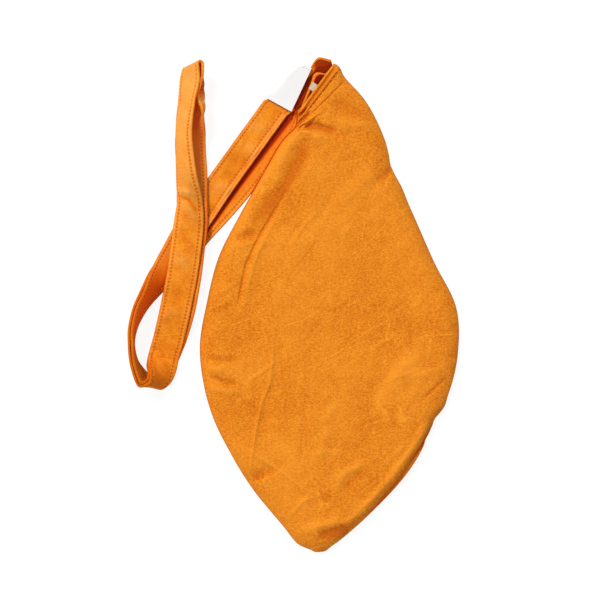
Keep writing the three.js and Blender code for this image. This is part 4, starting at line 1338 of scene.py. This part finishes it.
stitch_rows = {}
strap_skins = [
    ("upper-leg", upper_leg_even, upper_leg_skin, INNER_ROW_INSET),
    ("lower-leg", lower_leg_even, lower_leg_skin, STITCH_INSET),
    ("loop", loop_even, loop_skin, STITCH_INSET),
]
for leg, lay, skin, inner_row in strap_skins:
    for edge, sign, inset in (("outer", -1, STITCH_INSET), ("inner", 1, inner_row)):
        stitch_rows[leg, edge] = strip_stitches(f"{leg}-{edge}-stitches", lay, skin, sign, inset)
front_rim_stitches = rim_stitches("front-rim-stitches", front_band_face)
back_rim_stitches = rim_stitches("back-rim-stitches", back_band_face + [0, 0, BAND_THICKNESS])


# Overlocked side seam inside the bag

# How far in from the outline its thread swings, half the length of one swing, its radius and how far it rises
OVERLOCK_FROM = 2.2
OVERLOCK_SWING = 4
OVERLOCK_HALF_WAVE = 3.0
OVERLOCK_RADIUS = 0.2
OVERLOCK_RISE = 0.25
# It ends where the bag gets narrower than this half width
OVERLOCK_HALF_WIDTH = 16


def overlock(name):
    """Thread that zigzags round the raw edges: six-sided rings carried along triangle waves at both sides."""
    left, right, _, half = rungs(even_rows(band_share + 0.03, 420))
    keep = half > OVERLOCK_HALF_WIDTH
    left, right = left[keep], right[keep]
    bodies = []
    for start, end in ((left, right), (right, left)):
        walked = walk(start)
        at = np.arange(0, walked[-1], 0.5)
        wave = np.abs((at / OVERLOCK_HALF_WAVE) % 2 - 1)
        swing = (OVERLOCK_FROM + OVERLOCK_SWING * wave)[:, None]
        path = at_places(at, walked, start) + at_places(at, walked, unit(end - start)) * swing
        bodies.append(with_height(path, SEAM_HEIGHT + OVERLOCK_RISE * np.sin(at * 2)))
    path = np.concatenate([bodies[0], bodies[1][::-1]])
    run = unit(np.gradient(path, axis=0))
    side = unit(np.cross(run, [0, 0, 1]))
    loops = path[:, None] + OVERLOCK_RADIUS * six_sided(side, np.cross(side, run))
    return carried_section(name, loops, strap_thread, np.zeros((*loops.shape[:2], 2)))


seam_overlock = overlock("overlocked-seam")


# Label and care tag

LABEL_LENGTH, LABEL_WIDTH = 35, 22
# The way its length runs, and where its sewn corner lies from the mouth's upper corner
LABEL_AZIMUTH = 245
LABEL_OFFSET = [-15.3, -2.6]
label_down, label_left = heading(LABEL_AZIMUTH), heading(LABEL_AZIMUTH - 90)
label_corner = np.array([*(upper_corner + LABEL_OFFSET), 0])

# Widths that show from above, and how deep the turned side hangs, at shares of the label's length
LABEL_SHARE = [0, 0.1, 0.25, 0.4, 0.55, 0.7, 0.85, 1.0]
LABEL_SHOWS = [7.0, 12.5, 15.5, 17.2, 18.4, 19.6, 21.2, 22.2]
LABEL_DROP = [2.6, 3.2, 3.4, 3.2, 2.8, 2.2, 1.2, 0.5]
# Share of that width that is flat before the label turns over, the label's height, and its lower hem's inset
LABEL_FLAT = 0.72
LABEL_HEIGHT = 6.9
LABEL_HEM = 2.3

# The care tag's size, how much of it is sewn inside the mouth, and its height there
TAG_WIDTH, TAG_LENGTH = 5.8, 13
TAG_SEWN = 8.9
TAG_HEIGHT = 2.9

RIBBON_THICKNESS = 0.3


def satin_ribbon(name, rows, columns, face, material):
    """A thin ribbon: face gives the grid of points, and the underside lies the thickness below it."""
    a, b = np.meshgrid(np.linspace(0, 1, rows), np.linspace(0, 1, columns), indexing="ij")
    top, place = face(a, b)
    normal = unit(np.cross(np.gradient(top, axis=0), np.gradient(top, axis=1)))
    normal = normal * np.sign(normal[rows // 2, 1, 2])
    return cloth_body(name, top, top - normal * RIBBON_THICKNESS, material, place, step=1)


def label_face(a, b):
    """Flat along the sewn edge. Past its flat part the width turns over: it goes out by a sine, which comes
    back where the edge hangs underneath, and sinks by smoothstep to its drop. Slow sines ripple it."""
    down = a * LABEL_LENGTH
    width = b * LABEL_WIDTH
    shows = np.interp(a, LABEL_SHARE, LABEL_SHOWS)
    flat = shows * LABEL_FLAT
    turn = np.clip((width - flat) / np.maximum(LABEL_WIDTH - flat, 1), 0, 1)
    out = np.minimum(width, flat) + shows * (1 - LABEL_FLAT) * np.sin(turn * pi * 0.62)
    height = LABEL_HEIGHT - 0.6 * np.sin(a * pi) * (1 - b) + 0.5 * a + 0.35 * np.sin(a * 7 + b * 2)
    height = height - np.interp(a, LABEL_SHARE, LABEL_DROP) * smoothstep(0, 1, turn)
    height = height - 0.12 * bell(down - LABEL_LENGTH + LABEL_HEM, 0.4)
    points = label_corner + (down - 0.07 * a * out)[..., None] * label_down + out[..., None] * label_left
    points[..., 2] = height
    return points, np.stack([width, down], axis=-1)


def tag_face(a, b):
    """A short ribbon that stands out of the mouth over the lifted back rim, bowed across by half a sine."""
    outward = -np.array([*inward, 0])
    across = np.array([*along_mouth, 0])
    mouth = np.array([*mouth_middle, 0]) - outward * TAG_SEWN + across * 0.3
    points = mouth + a[..., None] * TAG_LENGTH * outward + (b[..., None] - 0.5) * TAG_WIDTH * across
    points[..., 2] = TAG_HEIGHT + back_rim_lift(TAG_SEWN - TAG_LENGTH * a) + 0.3 * np.sin(b * pi)
    return points, np.stack([b * TAG_WIDTH, a * TAG_LENGTH], axis=-1)


woven_label = satin_ribbon("blank-label", 101, 41, label_face, white_satin)

# Places of the label's stitches along its sewn end
label_at = np.arange(1.5, 8, 2.2)
label_points, _ = label_face(np.full((1, len(label_at)), 0.05), (label_at / LABEL_WIDTH)[None])
along_label = np.broadcast_to(label_left, (len(label_at), 3))
upward = np.broadcast_to([0, 0, 1.0], (len(label_at), 3))
label_stitches = stitches(
    "label-stitches", label_points[0] + [0, 0, 0.1], along_label, upward, length=1.6, radius=0.22,
    material=white_satin_thread,
)

care_tag = satin_ribbon("care-tag", 25, 17, tag_face, grey_satin)


# What each piece stands for, whose part it hides, and what it rides on

def cloth_sheet(piece, width, length, held, rests_on, slot, area=None):
    """Works out a piece's flat width and length in metres, and keeps neither."""
    width * MM
    length * MM


def surface_area(points):
    """Area of a grid of points in square metres: the sum of the cross products of its cells' sides."""
    a = points[1:, :-1] - points[:-1, :-1]
    b = points[:-1, 1:] - points[:-1, :-1]
    return float(np.linalg.norm(np.cross(a, b), axis=-1).sum() * MM * MM)


stands_for = {
    "front_panel": front_panel,
    "back_panel": back_panel,
    "front_mouth_band": front_band,
    "back_mouth_band": back_band,
    "seam_binding": seam_overlock,
    "strap_upper_leg": upper_leg,
    "strap_lower_leg": lower_leg,
    "strap_loop": far_loop,
    "strap_upper_end": upper_end,
    "strap_lower_end": lower_end,
    "woven_label": woven_label,
    "care_tag": care_tag,
    "label_thread": label_stitches,
    "front_rim_thread": front_rim_stitches,
    "back_rim_thread": back_rim_stitches,
}
for (leg, edge), row in stitch_rows.items():
    stands_for[f"{leg.replace('-', '_')}_{edge}_thread"] = row
for node, piece in stands_for.items():
    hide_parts(node)

leg_rows = [row for (leg, _), row in stitch_rows.items() if leg != "loop"]
loop_rows = [row for (leg, _), row in stitch_rows.items() if leg == "loop"]
for piece in (back_panel, back_band, seam_overlock, back_rim_stitches):
    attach(piece, "bag_body")
for piece in (upper_leg, lower_leg, *leg_rows):
    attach(piece, "strap_legs")


def bend(pieces, first, second, hinge, way, start, end):
    """Works out the points hinge + way * start and hinge + way * end in metres and keeps neither, then bakes
    each piece's transform into its mesh."""
    for piece in pieces:
        tuple((hinge + way * start) * MM)
        tuple((hinge + way * end) * MM)
        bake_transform(piece)


# Where the front lip starts to bend, inward from the mouth and up, and how far out and up from there it ends
LIP_RUN, LIP_HEIGHT = 13, 12
LIP_OUT, LIP_UP = 3.63, 5.36
TAG_BEND_HEIGHT = 7

lip_hinge = with_height(mouth_middle + inward * LIP_RUN, LIP_HEIGHT)
lip_rise = with_height(-inward * LIP_OUT, LIP_UP)
tag_hinge, tag_way = with_height(mouth_middle, TAG_BEND_HEIGHT), with_height(-inward, 0)
bend([front_panel, front_band, front_rim_stitches], "bag_body", "mouth_lip", lip_hinge, lip_rise, 0, 1)
bend([upper_end, lower_end], "bag_body", "strap_legs", upper_leg_lay.centre[0], leg_direction, -9, -0.2)
bend([far_loop, *loop_rows], "strap_legs", "far_loop", upper_leg_lay.centre[-1], loop_direction, 0.2, 12)
bend([woven_label, label_stitches], "bag_body", "label_flap", label_corner, label_down, -0.5, 6)
bend([care_tag], "bag_body", "tag_flap", tag_hinge, tag_way, -3, 4.1)

# Sizes of the flat cloth that the panels, the bands and the care tag are cut from
PANEL_FLAT = (200, 360)
BAND_FLAT = (62, 14)
TAG_FLAT = (10, 13)

cloth_sheet(front_panel, *PANEL_FLAT, "laid", ["back_panel"], "bag_cotton", surface_area(front_outer))
cloth_sheet(back_panel, *PANEL_FLAT, "laid", [], "bag_cotton", surface_area(back_outer))
cloth_sheet(front_band, *BAND_FLAT, "folded", ["back_mouth_band"], "bag_cotton")
cloth_sheet(back_band, *BAND_FLAT, "folded", [], "bag_cotton")
for piece, lay, below in (
    (upper_leg, upper_leg_even, [lower_leg]),
    (lower_leg, lower_leg_even, []),
    (far_loop, loop_even, [lower_leg]),
    (upper_end, upper_end_even, [lower_end]),
    (lower_end, lower_end_even, []),
):
    cloth_sheet(piece, STRAP_WIDTH, lay.walked[-1], "folded", below, "strap_cotton")
cloth_sheet(woven_label, LABEL_WIDTH, LABEL_LENGTH, "laid", [upper_leg], "label_cloth")
tag_area = TAG_WIDTH * TAG_LENGTH * MM * MM
cloth_sheet(care_tag, *TAG_FLAT, "laid", ["back_mouth_band"], "label_cloth", tag_area)


# Floor, light and camera

FLOOR_HALF = 3
FLOOR_DROP = 0.0003
VIEW_WIDTH = 0.438
VIEW_MIDDLE = (-0.0219, 0.0219)
CAMERA_HEIGHT = 3.0
SENSOR_WIDTH = 36
WHITE = (1, 1, 1, 1)


def pale_floor():
    """White ground that is mostly its own light to the camera, so that the object's shadow on it is faint."""
    mesh = bpy.data.meshes.new("floor")
    corners = [(-1, -1), (1, -1), (1, 1), (-1, 1)]
    mesh.from_pydata([(x * FLOOR_HALF, y * FLOOR_HALF, -FLOOR_DROP) for x, y in corners], [], [(0, 1, 2, 3)])
    material, start = new_material("white floor")
    seen = start.node("ShaderNodeLightPath", {}, {}, output="Is Camera Ray")
    paint = start.node("ShaderNodeBsdfDiffuse", {}, {"Color": (0.93, 0.93, 0.93, 1)})
    glow = start.node("ShaderNodeEmission", {}, {"Color": WHITE, "Strength": 1.05})
    both = start.node("ShaderNodeMixShader", {}, {0: seen * 0.86, 1: paint, 2: glow})
    start.node("ShaderNodeOutputMaterial", {}, {"Surface": both})
    mesh.materials.append(material)
    new_object("floor", mesh)


def soft_light():
    """A plain room, which the camera sees as white, and a wide soft sun from the upper left."""
    world = bpy.data.worlds.new("studio")
    bpy.context.scene.world = world
    world.use_nodes = True
    world.node_tree.nodes.clear()
    start = Surface(world.node_tree)
    seen = start.node("ShaderNodeLightPath", {}, {}, output="Is Camera Ray")
    room = start.node("ShaderNodeBackground", {}, {"Color": WHITE, "Strength": 0.44})
    white = start.node("ShaderNodeBackground", {}, {"Color": WHITE, "Strength": 1.0})
    both = start.node("ShaderNodeMixShader", {}, {0: seen, 1: room, 2: white})
    start.node("ShaderNodeOutputWorld", {}, {"Surface": both})
    lamp = bpy.data.lights.new("window light", "SUN")
    lamp.energy = 2.25
    lamp.angle = radians(18)
    lamp.color = (1.0, 0.98, 0.95)
    new_object("window light", lamp).rotation_euler = (0, radians(-37), radians(-50))


def straight_down_camera():
    """Camera over the picture's middle that looks straight down and sees VIEW_WIDTH at the bag's seam."""
    camera = bpy.data.cameras.new("camera")
    camera.sensor_width = SENSOR_WIDTH
    camera.lens = SENSOR_WIDTH * CAMERA_HEIGHT / VIEW_WIDTH
    camera.clip_end = 20
    holder = new_object("camera", camera)
    holder.location = (*VIEW_MIDDLE, CAMERA_HEIGHT + SEAM_HEIGHT * MM)
    bpy.context.scene.camera = holder


pale_floor()
soft_light()
straight_down_camera()
bpy.context.scene.view_settings.view_transform = "Standard"
